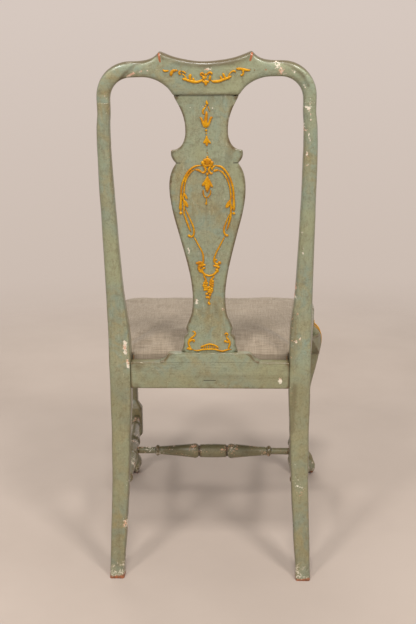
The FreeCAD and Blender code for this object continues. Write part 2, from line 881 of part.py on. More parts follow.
def medial_stretcher(sides):
    """Stretcher between the two side stretchers, and the room for its tenons."""
    axis = side_stretcher_point(-medial_set)
    half = axis.x - side_stretcher_radius
    body = turned_stretcher(half, medial_radius, round_tenon_length / 2)
    body.translate(V(0, axis.y, axis.z))
    body = biggest(body.cut(sides))
    across = V(axis.x - round_tenon_play, 0, 0)
    room_across = V(axis.x, 0, 0)
    middle = V(0, axis.y, axis.z)
    tenon = rod(middle - across, middle + across, round_tenon_radius)
    room = rod(middle - room_across, middle + room_across, round_tenon_radius + round_tenon_play)
    return body.fuse(tenon).removeSplitter(), room


def screw(anchor, into):
    """Wood screw whose head sits a grip's length before the rail's face, and the room it needs in the brace."""
    head = anchor - into * screw_grip
    shank = Part.makeCylinder(screw_radius, screw_length, head, into)
    cone = Part.makeCone(screw_head_radius, screw_radius, screw_head_depth, head, into)
    wide = screw_radius + screw_play
    hole = Part.makeCylinder(wide, screw_length + screw_play, head, into)
    seat = Part.makeCone(screw_head_radius + screw_play, wide, screw_head_depth + screw_play, head, into)
    way = Part.makeCylinder(screw_head_radius + screw_play, screw_length, head - into * screw_length, into)
    return shank.fuse(cone), hole.fuse([seat, way])


def front_brace():
    """Left front corner brace with its screws and their room."""
    rail_face = rail_inset + rail_thickness - seat_depth
    tip = V(leg_inner - brace_reach_front, rail_face, 0)
    end_y = leg_rear + brace_reach_front
    points = [
        tip,
        V(leg_inner, rail_face, 0),
        V(leg_inner, leg_rear, 0),
        V(side_inner(leg_rear), leg_rear, 0),
        V(side_inner(end_y), end_y, 0),
    ]
    across = V(between(tip.x, leg_inner, screw_place_share), rail_face, 0)
    along_y = between(end_y, leg_rear, screw_place_share)
    anchors = [(across, V(0, -1, 0)), (V(side_inner(along_y), along_y, 0), V(1, 0, 0))]
    return brace(points, anchors)


def rear_brace():
    """Left rear corner brace with its screws and their room."""
    face = -rear_rail_thickness
    tip = V(rear_half_width - post_width - brace_reach_rear, face, 0)
    end_y = face - brace_reach_rear
    corner = V(side_inner(face), face, 0)
    points = [tip, corner, V(side_inner(end_y), end_y, 0)]
    across = V(between(tip.x, corner.x, screw_place_share), face, 0)
    along_y = between(end_y, face, screw_place_share)
    anchors = [(across, V(0, 1, 0)), (V(side_inner(along_y), along_y, 0), V(1, 0, 0))]
    return brace(points, anchors)


def brace(points, anchors):
    """Corner brace on a plan outline, with one screw into each rail."""
    top = rear_rail_top - ledge_depth - brace_drop
    level = UP * (top - brace_height)
    middle = UP * (top - brace_height / 2)
    body = prism([point + level for point in points], brace_height)
    pairs = [screw(anchor + middle, into) for anchor, into in anchors]
    screws = [pair[0] for pair in pairs]
    rooms = [pair[1] for pair in pairs]
    return body.cut(rooms), screws, rooms


def rounded_plan(corners, radius, z):
    """Level outline through four corners with round bends."""
    points = [V(x, y, z) for x, y in corners]
    starts, middles, ends = [], [], []
    for index, point in enumerate(points):
        back = (points[index - 1] - point).normalize()
        ahead = (points[(index + 1) % len(points)] - point).normalize()
        half = back.getAngle(ahead) / 2
        inward = (back + ahead).normalize()
        reach = radius * cos(half) / sin(half)
        centre = point + inward * (radius / sin(half))
        starts.append(point + back * reach)
        middles.append(centre - inward * radius)
        ends.append(point + ahead * reach)
    edges = []
    for index, start in enumerate(starts):
        edges.append(arc(start, middles[index], ends[index]))
        edges.append(line(ends[index], starts[(index + 1) % len(starts)]))
    return Part.Wire(edges)


def seat_outline(inset, radius, z):
    """Rounded outline of the seat's plan."""
    (rear_x, rear_y), (front_x, front_y) = seat_plan(inset)
    corners = [(-rear_x, rear_y), (rear_x, rear_y), (front_x, front_y), (-front_x, front_y)]
    return rounded_plan(corners, radius, z)


def seat_block(inset, radius, low, high):
    """Upright solid on the seat's rounded plan."""
    return Part.Face(seat_outline(inset, radius, low)).extrude(UP * (high - low))


# Heights of the seat's layers in its level drawing, upward from the ledge.
frame_low = cover_thickness
frame_high = frame_low + seat_frame_thickness
frame_inset = seat_play + cover_thickness
web_top = frame_high + 2 * webbing_thickness
hessian_low = web_top + tack_head_depth
pad_low = hessian_low + hessian_thickness
notch_play = seat_play
inner_notch_play = seat_play + cover_thickness

# The crown's sections: height as a share of its height and inset as a share of half the seat's depth.
crown_shares = [
    (0.00, 0.000),
    (0.30, 0.004),
    (0.58, 0.030),
    (0.80, 0.090),
    (0.93, 0.210),
    (0.985, 0.370),
    (1.00, 0.560),
]


def crown(outward, upward):
    """Crowned pad: sides drawn in towards a gently domed top, moved out and up by a skin."""
    half = (pocket_rear - pocket_front) / 2
    wires = []
    for up, draw in crown_shares:
        inset = frame_inset + half * draw - outward * (1 - up)
        radius = between(seat_corner_radius + outward, crown_corner_radius, min(1, crown_corner_share * draw))
        z = between(pad_low, pad_low + crown_height + upward, up)
        wires.append(seat_outline(inset, radius, z))
    return smooth_loft(wires)


def seat_members():
    """Front, rear, left and right members of the lift-out seat's frame, level drawing."""
    outer = seat_block(frame_inset, seat_corner_radius, frame_low, frame_high)
    inner = seat_slab(frame_inset + seat_frame_width, frame_low, frame_high)
    ring = outer.cut([inner] + post_notches(inner_notch_play))
    rear_edge = pocket_rear - frame_inset - seat_frame_width
    front_edge = pocket_front + frame_inset + seat_frame_width
    rear_zone = box(V(-overrun, rear_edge, -overrun), V(overrun, overrun, overrun))
    front_zone = box(V(-overrun, -2 * overrun, -overrun), V(overrun, front_edge, overrun))
    left_zone = box(V(0, front_edge, -overrun), V(overrun, rear_edge, overrun))
    middle = (frame_low + frame_high) / 2
    tenons, rooms = [], []
    for y, sign in ((rear_edge, 1), (front_edge, -1)):
        x = side_outer(y) - pocket_step - frame_inset - seat_frame_width / 2
        for play, group in ((0, tenons), (mortise_play, rooms)):
            far = y + sign * (seat_tenon_length + play)
            low = V(x - seat_tenon_width / 2 - play, min(y, far), middle - seat_tenon_thickness / 2 - play)
            high = V(x + seat_tenon_width / 2 + play, max(y, far), middle + seat_tenon_thickness / 2 + play)
            group.append(box(low, high))
    left = ring.common(left_zone).fuse(tenons).removeSplitter()
    both = rooms + [mirrored(room) for room in rooms]
    front = ring.common(front_zone).cut(both)
    rear = ring.common(rear_zone).cut(both)
    return front, rear, left, mirrored(left)


def tack(point, into):
    """Tack with its head's underside at a point."""
    head = Part.makeCylinder(tack_head_radius, tack_head_depth, point - into * tack_head_depth, into)
    return head.fuse(Part.makeCylinder(tack_shank_radius, tack_length, point, into))


def tack_hole(point, into):
    """Hole for a tack's shank."""
    return Part.makeCylinder(tack_shank_radius + tack_play, tack_length + tack_play, point, into)


def strap(middle, along, across, length, low, turn_low):
    """Strap of webbing on the frame with its two ends folded over, and its tacks' places."""
    half = along * (length / 2)
    side = across * (webbing_width / 2)

    def bar(start, end, z):
        low_corner = V(min(start.x, end.x), min(start.y, end.y), z)
        high_corner = V(max(start.x, end.x), max(start.y, end.y), z + webbing_thickness)
        return box(low_corner, high_corner)

    body = bar(middle - half - side, middle + half + side, low)
    fold = along * webbing_turn
    turns = [
        bar(middle - half - side, middle - half + fold + side, turn_low),
        bar(middle + half - fold - side, middle + half + side, turn_low),
    ]
    places = []
    for end in (middle - half + fold / 2, middle + half - fold / 2):
        places += [end + side * (step * tack_spread_share) for step in (-1, 0, 1)]
    return body.fuse(turns).removeSplitter(), places


def webbing():
    """Straps across the seat's frame both ways, and the places of their tacks."""
    rear = pocket_rear - frame_inset - webbing_end_inset
    front = pocket_front + frame_inset + webbing_end_inset
    lengthwise, crosswise, places = [], [], []
    upper = frame_high + webbing_thickness
    for step in (-1, 0, 1):
        middle = V(step * webbing_pitch, (rear + front) / 2, 0)
        body, tacks = strap(middle, V(0, 1, 0), V(1, 0, 0), rear - front, frame_high, upper)
        lengthwise.append(body)
        places += tacks
    for step in (-1, 0, 1):
        y = (rear + front) / 2 + step * webbing_pitch
        half = side_outer(y) - pocket_step - frame_inset - webbing_end_inset
        body, tacks = strap(V(0, y, 0), V(1, 0, 0), V(0, 1, 0), 2 * half, upper, frame_high)
        crosswise.append(body)
        places += tacks
    return lengthwise, crosswise, [V(point.x, point.y, web_top) for point in places]


def row(start, end):
    """Evenly spaced points from start to end, about a tack pitch apart."""
    count = max(1, round((end - start).Length / cover_tack_pitch))
    return [start + (end - start) * (step / count) for step in range(count + 1)]


def cover_tack_places():
    """Places of the tacks under the seat that hold the cover's turned-in edge."""
    edge = frame_inset + cover_tack_inset
    front_y = pocket_front + edge
    rear_y = pocket_rear - edge
    front_x = leg_inner - cover_tack_inset
    rear_x = rear_half_width - post_width - cover_tack_inset
    side_low = leg_rear + cover_tack_inset
    side_high = post_front - edge

    def side_point(y):
        return V(side_outer(y) - pocket_step - edge, y, 0)

    left = row(side_point(side_low), side_point(side_high))
    right = [V(-point.x, point.y, 0) for point in left]
    front = row(V(-front_x, front_y, 0), V(front_x, front_y, 0))
    rear = row(V(-rear_x, rear_y, 0), V(rear_x, rear_y, 0))
    return front + rear + left + right


def linen_cover(holes):
    """Fabric skin over the pad and round the frame, turned in below."""
    shell = seat_block(seat_play, seat_corner_radius + cover_thickness, 0, pad_low)
    outer = shell.fuse(crown(cover_thickness, cover_thickness)).cut(post_notches(notch_play))
    core = seat_block(frame_inset, seat_corner_radius, frame_low, pad_low)
    cavity = core.fuse(crown(0, 0)).cut(post_notches(inner_notch_play))
    opening = seat_slab(frame_inset + cover_margin, -overrun, frame_low)
    return biggest(outer.cut([cavity, opening] + holes))


def seat_pieces():
    """All pieces of the lift-out seat, by name, in their tilted place."""
    front, rear, left, right = seat_members()
    lengthwise, crosswise, web_places = webbing()
    down = V(0, 0, -1)
    web_tacks = [tack(place, down) for place in web_places]
    web_holes = [tack_hole(place, down) for place in web_places]
    under_places = cover_tack_places()
    under_tacks = [tack(place, UP) for place in under_places]
    under_holes = [tack_hole(place, UP) for place in under_places]
    hessian = seat_block(frame_inset + webbing_thickness, seat_corner_radius, hessian_low, pad_low)
    stuffing = crown(-stuffing_room, -stuffing_room)
    notches = post_notches(inner_notch_play + stuffing_room)
    pieces = {
        "seat_frame_front": front.cut(web_holes + under_holes),
        "seat_frame_rear": rear.cut(web_holes + under_holes),
        "seat_frame_left": left.cut(web_holes + under_holes),
        "seat_frame_right": right.cut(web_holes + under_holes),
        "webbing_lengthwise": Part.makeCompound([body.cut(web_holes) for body in lengthwise]),
        "webbing_crosswise": Part.makeCompound([body.cut(web_holes) for body in crosswise]),
        "webbing_tacks": Part.makeCompound(web_tacks),
        "hessian": hessian.cut(notches),
        "stuffing": stuffing.cut(notches),
        "linen_cover": linen_cover(under_holes),
        "cover_tacks": Part.makeCompound(under_tacks),
    }
    return {name: tilted(shape) for name, shape in pieces.items()}


def frame_pieces():
    """All pieces of the fixed frame, by name."""
    post = rear_post_body()
    leg = front_leg_body()
    crest = crest_body()
    shoe = shoe_body()
    splat = splat_body()
    side = side_rail_body().cut(leg)
    front = front_rail_body().cut([leg, mirrored(leg)])
    rear = rear_rail_body()

    joint_height = crest_joint_middle()[1]
    top_tongue = splat_tongue_box(joint_height - splat_tongue, joint_height + splat_tongue)
    low_tongue = splat_tongue_box(block_high - splat_tongue, block_high + splat_tongue)
    splat = biggest(splat.cut([crest, shoe])).fuse([top_tongue, low_tongue]).removeSplitter()

    inner = post_top_outer - post_top_width
    stub_x = (inner + post_top_outer) / 2
    stub_half = V(crest_tenon_width / 2, crest_tenon_depth / 2, crest_joint_tongue)
    stub_low = V(stub_x, joint_middle, post_top) - stub_half
    stub_high = V(stub_x, joint_middle, post_top) + stub_half
    room = V(mortise_play, mortise_play, mortise_play)
    stub = box(stub_low, stub_high)
    stub_room = box(stub_low - room, stub_high + room)

    rear_tenon, rear_room = rear_rail_joint()
    (side_tenon_rear, side_room_rear), (side_tenon_front, side_room_front) = side_rail_joints()
    front_tenon, front_room = front_rail_joint()
    stretcher, stretcher_room = side_stretcher(post, leg)
    medial, medial_room = medial_stretcher([stretcher, mirrored(stretcher)])
    brace_front, screws_front, rooms_front = front_brace()
    brace_front = brace_front.cut(leg)
    brace_rear, screws_rear, rooms_rear = rear_brace()
    left_rooms = rooms_front + rooms_rear
    screw_rooms = left_rooms + [mirrored(room_shape) for room_shape in left_rooms]

    post_rooms = [rear_room, side_room_rear, stretcher_room]
    leg_rooms = [side_room_front, front_room, stretcher_room]
    post_whole = post.cut(post_rooms).fuse(stub).removeSplitter()
    leg_whole = leg.cut(leg_rooms)
    side_whole = side.fuse([side_tenon_rear, side_tenon_front]).removeSplitter().cut(left_rooms)
    stretcher_whole = stretcher.cut(medial_room)
    along_side = V(side_rear.x - side_front.x, side_rear.y - side_front.y, 0).normalize()
    side_corner = V(side_front.x, side_front.y, rail_bottom)
    front_corner = V(leg_inner, rail_inset - seat_depth, rail_bottom)
    outward = V(along_side.y, -along_side.x, 0)
    wing_side = biggest(knee_wing(side_corner, along_side, outward).cut([leg, side]))
    wing_front = biggest(knee_wing(front_corner, V(-1, 0, 0), V(0, -1, 0)).cut([leg, front]))

    pieces = {
        "rear_post_left": post_whole,
        "rear_post_right": mirrored(post_whole),
        "crest_rail": crest.cut([stub_room, mirrored(stub_room), top_tongue]),
        "splat": splat,
        "splat_shoe": shoe.cut(low_tongue),
        "rear_seat_rail": rear.fuse([rear_tenon, mirrored(rear_tenon)]).removeSplitter().cut(screw_rooms),
        "front_seat_rail": front.fuse([front_tenon, mirrored(front_tenon)]).removeSplitter().cut(screw_rooms),
        "side_seat_rail_left": side_whole,
        "side_seat_rail_right": mirrored(side_whole),
        "front_leg_left": leg_whole,
        "front_leg_right": mirrored(leg_whole),
        "knee_block_left_front": wing_front,
        "knee_block_right_front": mirrored(wing_front),
        "knee_block_left_side": wing_side,
        "knee_block_right_side": mirrored(wing_side),
        "side_stretcher_left": stretcher_whole,
        "side_stretcher_right": mirrored(stretcher_whole),
        "medial_stretcher": medial,
        "corner_brace_front_left": brace_front,
        "corner_brace_front_right": mirrored(brace_front),
        "corner_brace_rear_left": brace_rear,
        "corner_brace_rear_right": mirrored(brace_rear),
    }
    screws = screws_front + screws_rear
    screws += [mirrored(shape) for shape in screws]
    pieces["brace_screws"] = Part.makeCompound(screws)
    return pieces


def centre_shift():
    """How far the chair moves along Y so that its origin lies under its middle."""
    crest_rear = joint_middle + ear_height * sin(crest_lean) + crest_thickness / 2
    knee_front = leg_rear - knee_size
    return -(crest_rear + knee_front) / 2


def main():
    """Builds every piece and writes it."""
    os.makedirs("parts", exist_ok=True)
    pieces = frame_pieces()
    pieces.update(seat_pieces())
    shift = V(0, centre_shift(), 0)
    for name, shape in pieces.items():
        shape.translate(shift)
        shape.exportStep("parts/" + name + ".step")
        print(name, len(shape.Solids), shape.isValid(), round(shape.Volume))


main()
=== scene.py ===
"""Looks of the painted side chair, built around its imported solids. Metres, the solids' own frame.

The camera stands behind the chair, as the photograph's does. Ornament tables and the seat's plan are in millimetres.
"""
import math
from functools import cache

import bmesh
import bpy
import numpy as np
from mathutils import Matrix, Vector
from mathutils.bvhtree import BVHTree


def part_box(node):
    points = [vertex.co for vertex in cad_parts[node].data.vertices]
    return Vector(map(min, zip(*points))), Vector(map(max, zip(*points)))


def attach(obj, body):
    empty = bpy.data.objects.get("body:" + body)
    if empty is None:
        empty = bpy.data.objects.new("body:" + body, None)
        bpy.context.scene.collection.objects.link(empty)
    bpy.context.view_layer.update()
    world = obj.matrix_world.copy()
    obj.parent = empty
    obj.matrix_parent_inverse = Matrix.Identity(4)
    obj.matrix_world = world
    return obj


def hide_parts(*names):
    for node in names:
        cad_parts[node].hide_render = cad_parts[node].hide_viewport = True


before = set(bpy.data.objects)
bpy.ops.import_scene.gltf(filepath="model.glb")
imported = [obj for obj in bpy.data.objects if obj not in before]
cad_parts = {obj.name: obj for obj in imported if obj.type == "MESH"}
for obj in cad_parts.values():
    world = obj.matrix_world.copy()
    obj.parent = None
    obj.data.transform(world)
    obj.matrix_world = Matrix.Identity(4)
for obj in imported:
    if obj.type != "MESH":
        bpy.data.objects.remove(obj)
own = set(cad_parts.values())
for stray in [o for o in bpy.data.objects if o.type == "MESH" and o not in own]:
    bpy.data.objects.remove(stray)
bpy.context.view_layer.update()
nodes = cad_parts
scene = bpy.context.scene
MM = 0.001
FRAME_BODY = "chair_frame"
SEAT_BODY = "lift_out_seat"
SIDES = (("left", 1), ("right", -1))


# ---------------------------------------------------------------- materials
class Signal:
    """What a node gives out, ready for + - * and abs()."""

    def __init__(self, graph, socket):
        self.graph, self.socket = graph, socket

    def __add__(self, other):
        return self.graph.math("ADD", self, other)

    def __sub__(self, other):
        return self.graph.math("SUBTRACT", self, other)

    def __mul__(self, other):
        return self.graph.math("MULTIPLY", self, other)

    def __abs__(self):
        return self.graph.math("ABSOLUTE", self)


class Graph:
    """Short calls for the nodes of a material or a world."""

    def __init__(self, owner):
        owner.use_nodes = True
        self.owner, self.tree = owner, owner.node_tree
        self.shader = self.tree.nodes.get("Principled BSDF")
        if self.shader:
            self.position = self.node("TexCoord", output="Object")

    def feed(self, socket, value):
        if isinstance(value, Signal):
            self.tree.links.new(value.socket, socket)
        else:
            socket.default_value = value

    def node(self, kind, inputs=None, output=0, **settings):
        """One output of a new node, with its inputs by name or number and its settings."""
        made = self.tree.nodes.new("ShaderNode" + kind)
        for key, value in settings.items():
            setattr(made, key, value)
        for key, value in (inputs or {}).items():
            self.feed(made.inputs[key], value)
        return Signal(self, made.outputs[output])

    def math(self, kind, first, second=0.5):
        return self.node("Math", {0: first, 1: second}, operation=kind)

    def ramp(self, value, low, high, out_low=0.0, out_high=1.0):
        """value from low..high to out_low..out_high, smooth and held at both ends."""
        numbers = dict(enumerate((value, low, high, out_low, out_high)))
        return self.node("MapRange", numbers, interpolation_type="SMOOTHSTEP")

    def mix(self, share, first, second):
        return self.node("Mix", {0: share, 6: first, 7: second}, 2, data_type="RGBA")

    def layered(self, colour, *layers):
        """A colour with others laid over it, each by its share."""
        for share, over in layers:
            colour = self.mix(share, colour, over)
        return colour

    def scaled(self, scale, offset=(0, 0, 0)):
        """The object's position, stretched."""
        return self.node("Mapping", {"Vector": self.position, "Scale": scale, "Location": offset})

    def noise(self, scale, detail=4.0, rough=0.55, vector=None, warp=0.0):
        return self.node("TexNoise", {"Vector": vector or self.position, "Scale": scale, "Detail": detail,
                                      "Roughness": rough, "Distortion": warp}, "Fac")

    def axes(self, vector):
        """X, Y and Z of a vector."""
        return [Signal(self, socket) for socket in self.node("SeparateXYZ", {0: vector}).socket.node.outputs]

    def facing(self):
        return self.axes(self.node("NewGeometry", output="Normal"))

    def value_of(self, name):
        """A value that the mesh stores for each point."""
        return self.node("Attribute", output="Fac", attribute_name=name)

    def bump(self, height, strength, distance, below=None):
        inputs = {"Strength": strength, "Distance": distance, "Height": height}
        if below:
            inputs["Normal"] = below
        return self.node("Bump", inputs)

    def level_line(self, along, height, low, high, at, half):
        """1 on a thin level line between two places, fading to 0 round it."""
        reach = (high - low) / 2
        within = self.ramp(abs(along - (low + high) / 2), reach - half, reach + half, 1, 0)
        return within * self.ramp(abs(height - at), half * 0.5, half * 1.7, 1, 0)

    def finish(self, colour, rough, normal=None, **more):
        """Feeds the shader; more are its further sockets, with _ for a space."""
        sockets = {"Base Color": colour, "Roughness": rough}
        if normal:
            sockets["Normal"] = normal
        sockets.update({key.replace("_", " "): value for key, value in more.items()})
        for key, value in sockets.items():
            self.feed(self.shader.inputs[key], value)
        return self.owner


def new_material(name):
    return Graph(bpy.data.materials.new(name))


def tone(red, green, blue):
    """Colour given as it looks, 0 to 255, in the renderer's linear light."""
    def linear(value):
        value = value / 255
        return value / 12.92 if value <= 0.04045 else ((value + 0.055) / 1.055) ** 2.4

    return (linear(red), linear(green), linear(blue), 1.0)


def stretched(grain, across, along):
    """Scale of marks that run along one axis (0, 1, 2)."""
    scale = [across] * 3
    scale[grain] = along
    return scale


PAINT = tone(152, 154, 121)
PAINT_COOL = tone(136, 149, 131)
PAINT_WARM = tone(162, 150, 106)
OLIVE = tone(150, 131, 84)
GLAZE = tone(96, 80, 50)
GRIME = tone(46, 38, 27)
BROWN = tone(82, 68, 40)
PALE = tone(200, 195, 170)
CREAM = tone(232, 220, 200)
PINK = tone(212, 164, 134)
RAW_WOOD = tone(160, 90, 52)

# Thin level cuts in the paint, in millimetres: from x, to x, z.
CUTS = [(-55, -47, 817), (47, 55, 817), (-12, 12, 389)]
CUT_HALF = 0.7 * MM


@cache
def paint(grain, seed):
    """Old grey-green oil paint: brush marks along the grain, brown glaze, rubbed edges, chips and fine cracks, with
    painted shade on sideways faces, on the crest's top, along edges, in hollows and below the seat.
    """
    g = new_material("green_paint_%s%d" % ("xyz"[grain], seed))
    shift = (seed * 1.7 + 0.3, seed * 2.3, seed * 3.1)
    moved = g.scaled((1, 1, 1), shift)
    broad = g.noise(8, 3, vector=moved)
    cloud = g.noise(34, 5, 0.62, moved, 0.8)
    blotch = g.noise(95, 4, 0.6, moved, 0.5)
    brush = g.noise(1, 4, 0.6, g.scaled(stretched(grain, 52, 4), shift))
    hair = g.noise(1, 2, 0.5, g.scaled(stretched(grain, 430, 16), shift))
    fine = g.noise(300, 3, 0.6)
    dust = g.noise(1, 2, 0.6, g.scaled(stretched(grain, 190, 34), (seed, 4, seed)), 0.3)
    chip = g.noise(300, 3, 0.62, g.scaled((1, 1, 1), (7, seed, 2)), 0.6)
    wear, bare = g.value_of("wear"), g.value_of("bare")
    x, y, height = g.axes(g.position)
    _, face_y, face_z = g.facing()

    warm = g.ramp(cloud, 0.36, 0.62) * (g.ramp(height, 0.25, 0.55, 0.45, 0.12) + g.ramp(broad, 0.44, 0.60, 0, 0.45))
    stain = g.ramp(broad, 0.47, 0.66) * g.ramp(brush, 0.34, 0.66)
    # Painted shade of the rounded sides, with some brown glaze: faces turned sideways from y are browner.
    side_glaze_and_shade = g.ramp(abs(face_y), 0.30, 0.88, 0.34, 0) * g.ramp(cloud, 0.3, 0.6, 0.6, 1)
    # Grime and painted shade: upward faces at the crest's top are darkened against the light from above.
    top_grime_and_shade = g.ramp(face_z, 0.25, 0.75, 0, 0.80) * g.ramp(height, 0.93, 0.965)
    # Listed marks of brown glaze that is partly painted shade.
    brown_glaze_and_shade = g.value_of("brown_glaze_and_shade") * g.ramp(brush, 0.30, 0.60, 0.55, 0.95)
    # Glaze near worn edges, partly painted shade along the edges.
    edge_glaze_and_shade = g.ramp(g.value_of("rim"), 0.01, 0.18) * g.ramp(cloud, 0.28, 0.60, 0.50, 0.95)
    # Grime and painted shade in hollows.
    hollow_grime_and_shade = g.ramp(g.value_of("hollow"), 0.02, 0.22) * g.ramp(fine, 0.2, 0.7, 0.75, 1)
    crack = g.node("TexVoronoi", {"Vector": moved, "Scale": 125, "Randomness": 1}, "Distance",
                   feature="DISTANCE_TO_EDGE")
    cracked = g.ramp(crack, 0, 0.05, 1, 0) * g.ramp(cloud, 0.44, 0.60, 0, 0.36)
    lines = [g.level_line(x, height, low * MM, high * MM, at * MM, CUT_HALF) for low, high, at in CUTS]
    cut = g.math("MAXIMUM", g.math("MAXIMUM", lines[0], lines[1]), lines[2]) * g.ramp(y, -0.03, -0.01, 0, 0.9)
    worn = g.ramp(broad, 0.40, 0.62, 0, 0.05) + wear * 0.06 + g.ramp(cloud, 0.46, 0.66, 0, 0.06)
    dusted = g.ramp(dust + worn, 0.745, 0.80)
    chipped = g.ramp(chip + (g.value_of("scar") * 0.33 + worn), 0.79, 0.82)
    through = g.ramp(wear * g.ramp(blotch, 0.46, 0.68) + g.value_of("raw"), 0.60, 0.72)
    foot = height + cloud * -0.11 + blotch * -0.05
    scuffed = g.ramp(foot, -0.050, -0.066, 0, 0.7) * g.ramp(chip, 0.50, 0.56)
    floor_worn = g.ramp(height + cloud * -0.030, -0.0105, -0.0065, 1, 0)
    colour = g.layered(
        g.mix(g.ramp(broad, 0.36, 0.60), PAINT, PAINT_COOL),
        (warm, PAINT_WARM),
        (stain * 0.55, OLIVE),
        (g.ramp(blotch, 0.50, 0.72, 0, 0.34), GLAZE),
        (g.ramp(brush, 0.52, 0.74, 0, 0.26), GLAZE),
        (g.ramp(hair, 0.50, 0.80, 0, 0.22), PALE),
        (g.ramp(fine, 0.50, 0.66, 0, 0.26), GLAZE),
        # Painted shade below the seat: darker below about 0.4 m.
        (g.ramp(height, 0.34, 0.46, 0.37, 0), GLAZE),
        (side_glaze_and_shade, BROWN),
        (top_grime_and_shade, BROWN),
        (brown_glaze_and_shade, BROWN),
        (edge_glaze_and_shade, GLAZE),
        (hollow_grime_and_shade, GRIME),
        (cracked, GLAZE),
        (cut, GRIME),
        (dusted * 0.40, PALE),
        (chipped, g.mix(g.ramp(cloud, 0.46, 0.56), CREAM, PINK)),
        (through, RAW_WOOD),
        (scuffed, CREAM),
        (floor_worn, g.mix(g.ramp(fine, 0.4, 0.6), RAW_WOOD, tone(120, 74, 46))),
        (bare, g.mix(g.ramp(hair, 0.35, 0.7), tone(150, 112, 74), tone(118, 84, 52))))
    surface = brush * 0.8 + hair * 0.4 + blotch * 0.9 + (dusted + chipped + cut) * -0.5 + cracked * -0.9
    normal = g.bump(fine, 0.14, 0.0002, g.bump(surface, 0.6, 0.00045))
    rough = g.ramp(cloud, 0.3, 0.75, 0.27, 0.42) + (chipped + bare) * 0.25
    return g.finish(colour, rough, normal, Coat_Weight=0.35, Coat_Roughness=0.24)


def ochre_material():
    """Ochre paint on raised ornament, with painted shade in its hollows and a painted shadow at its foot, rubbed on
    its crests.
    """
    g = new_material("ochre_paint")
    cloud, patch, fine = g.noise(140, 4, 0.6), g.noise(45, 3), g.noise(620, 3)
    colour = g.layered(
        g.mix(g.ramp(cloud, 0.35, 0.68), tone(200, 138, 6), tone(220, 160, 14)),
        (g.ramp(patch, 0.46, 0.64, 0, 0.7), tone(182, 112, 10)),
        (g.ramp(fine, 0.52, 0.72, 0, 0.35), tone(110, 66, 14)),
        # Painted shade in the ornament's hollows and a painted shadow at its foot.
        (g.ramp(g.value_of("hollow"), 0.03, 0.30, 0, 0.95), tone(84, 52, 18)),
        (g.ramp(g.value_of("foot"), 0.15, 0.85, 0, 0.9), tone(72, 50, 22)),
        (g.ramp(g.value_of("wear") * 0.3 + cloud, 0.82, 0.92, 0, 0.8), tone(236, 204, 130)))
    normal = g.bump(cloud + fine * 0.4, 0.5, 0.0003)
    return g.finish(colour, g.ramp(cloud, 0.3, 0.7, 0.34, 0.5), normal, Specular_IOR_Level=0.3)


def timber_material(name, grain):
    """Raw sawn timber with grain along one axis."""
    g = new_material(name)
    fibre = g.noise(1, 4, 0.65, g.scaled(stretched(grain, 150, 6)))
    bands = g.noise(1, 3, 0.5, g.scaled(stretched(grain, 26, 1.6)), 0.5)
    colour = g.layered(
        g.mix(g.ramp(bands, 0.35, 0.65), tone(176, 138, 96), tone(150, 112, 74)),
        (g.ramp(fibre, 0.45, 0.8, 0, 0.45), tone(84, 58, 36)),
        (g.ramp(g.noise(9, 4), 0.55, 0.8, 0, 0.35), tone(74, 60, 46)))
    return g.finish(colour, g.ramp(fibre, 0.3, 0.7, 0.62, 0.8), g.bump(fibre, 0.5, 0.0004))


SLUB_FINE, SLUB_LONG = 520.0, 26.0
THREAD_STRAY = 0.7


def weave(g, pitch, first, second):
    """Plain weave in the plane that the surface faces: the height of its threads and how slubby they are."""
    x, y, z = g.axes(g.position)
    face_x, _, face_z = g.facing()
    flat = g.math("GREATER_THAN", abs(face_z), 0.6)
    sideways = g.math("GREATER_THAN", abs(face_x), 0.7)
    u = (y - x) * sideways + x + g.noise(first, 2) * (pitch * THREAD_STRAY)
    v = (y - z) * flat + z + g.noise(second, 2) * (pitch * THREAD_STRAY)
    turn = 2 * math.pi / pitch
    over = g.math("SINE", u * turn) * g.math("SINE", v * turn)
    thread_u = g.noise(1, 3, 0.6, g.scaled((SLUB_FINE, SLUB_LONG, SLUB_LONG)))
    thread_v = g.noise(1, 3, 0.6, g.scaled((SLUB_LONG, SLUB_FINE, SLUB_FINE)))
    return over, thread_u * 0.4 + thread_v * 0.6


def linen_material():
    """Natural linen in a plain weave with slubs, a little soiled, with painted shade in its folds."""
    g = new_material("linen")
    over, slubs = weave(g, 0.0011, 15, 21)
    colour = g.layered(
        g.mix(g.ramp(slubs, 0.40, 0.60), tone(136, 121, 103), tone(166, 151, 133)),
        (g.ramp(over, -0.9, 0.4, 0.30, 0), tone(112, 98, 80)),
        (g.ramp(g.noise(10, 4), 0.45, 0.75, 0, 0.30), tone(142, 128, 108)),
        # Painted shade in the folds.
        (g.ramp(g.value_of("hollow"), 0.02, 0.3, 0, 0.55), tone(112, 98, 82)))
    normal = g.bump(over + slubs * 2.0, 0.45, 0.00025)
    return g.finish(colour, g.ramp(slubs, 0.3, 0.7, 0.82, 0.95), normal, Sheen_Weight=0.12, Sheen_Roughness=0.5,
                    Specular_IOR_Level=0.25)


def jute_material(name, light, dark, pitch, stripe):
    """Coarse jute: webbing or hessian."""
    g = new_material(name)
    over, slubs = weave(g, pitch, 61, 47)
    colour = g.layered(g.mix(g.ramp(slubs, 0.38, 0.62), dark, light),
                       (g.ramp(over, -1, 0.6, 0.45, 0), tone(78, 58, 36)))
    if stripe:
        colour = g.mix(g.value_of("stripe") * 0.75, colour, stripe)
    normal = g.bump(over + slubs, 0.6, 0.0004)
    return g.finish(colour, g.ramp(slubs, 0.3, 0.7, 0.85, 0.97), normal, Specular_IOR_Level=0.2)


def steel_material():
    """Dull steel of tacks and screws with a little rust."""
    g = new_material("old_steel")
    rust = g.noise(230, 4)
    colour = g.mix(g.ramp(rust, 0.46, 0.62, 0, 0.8), tone(112, 108, 102), tone(98, 62, 40))
    return g.finish(colour, g.ramp(rust, 0.3, 0.7, 0.38, 0.72), g.bump(rust, 0.4, 0.0002), Metallic=0.8)


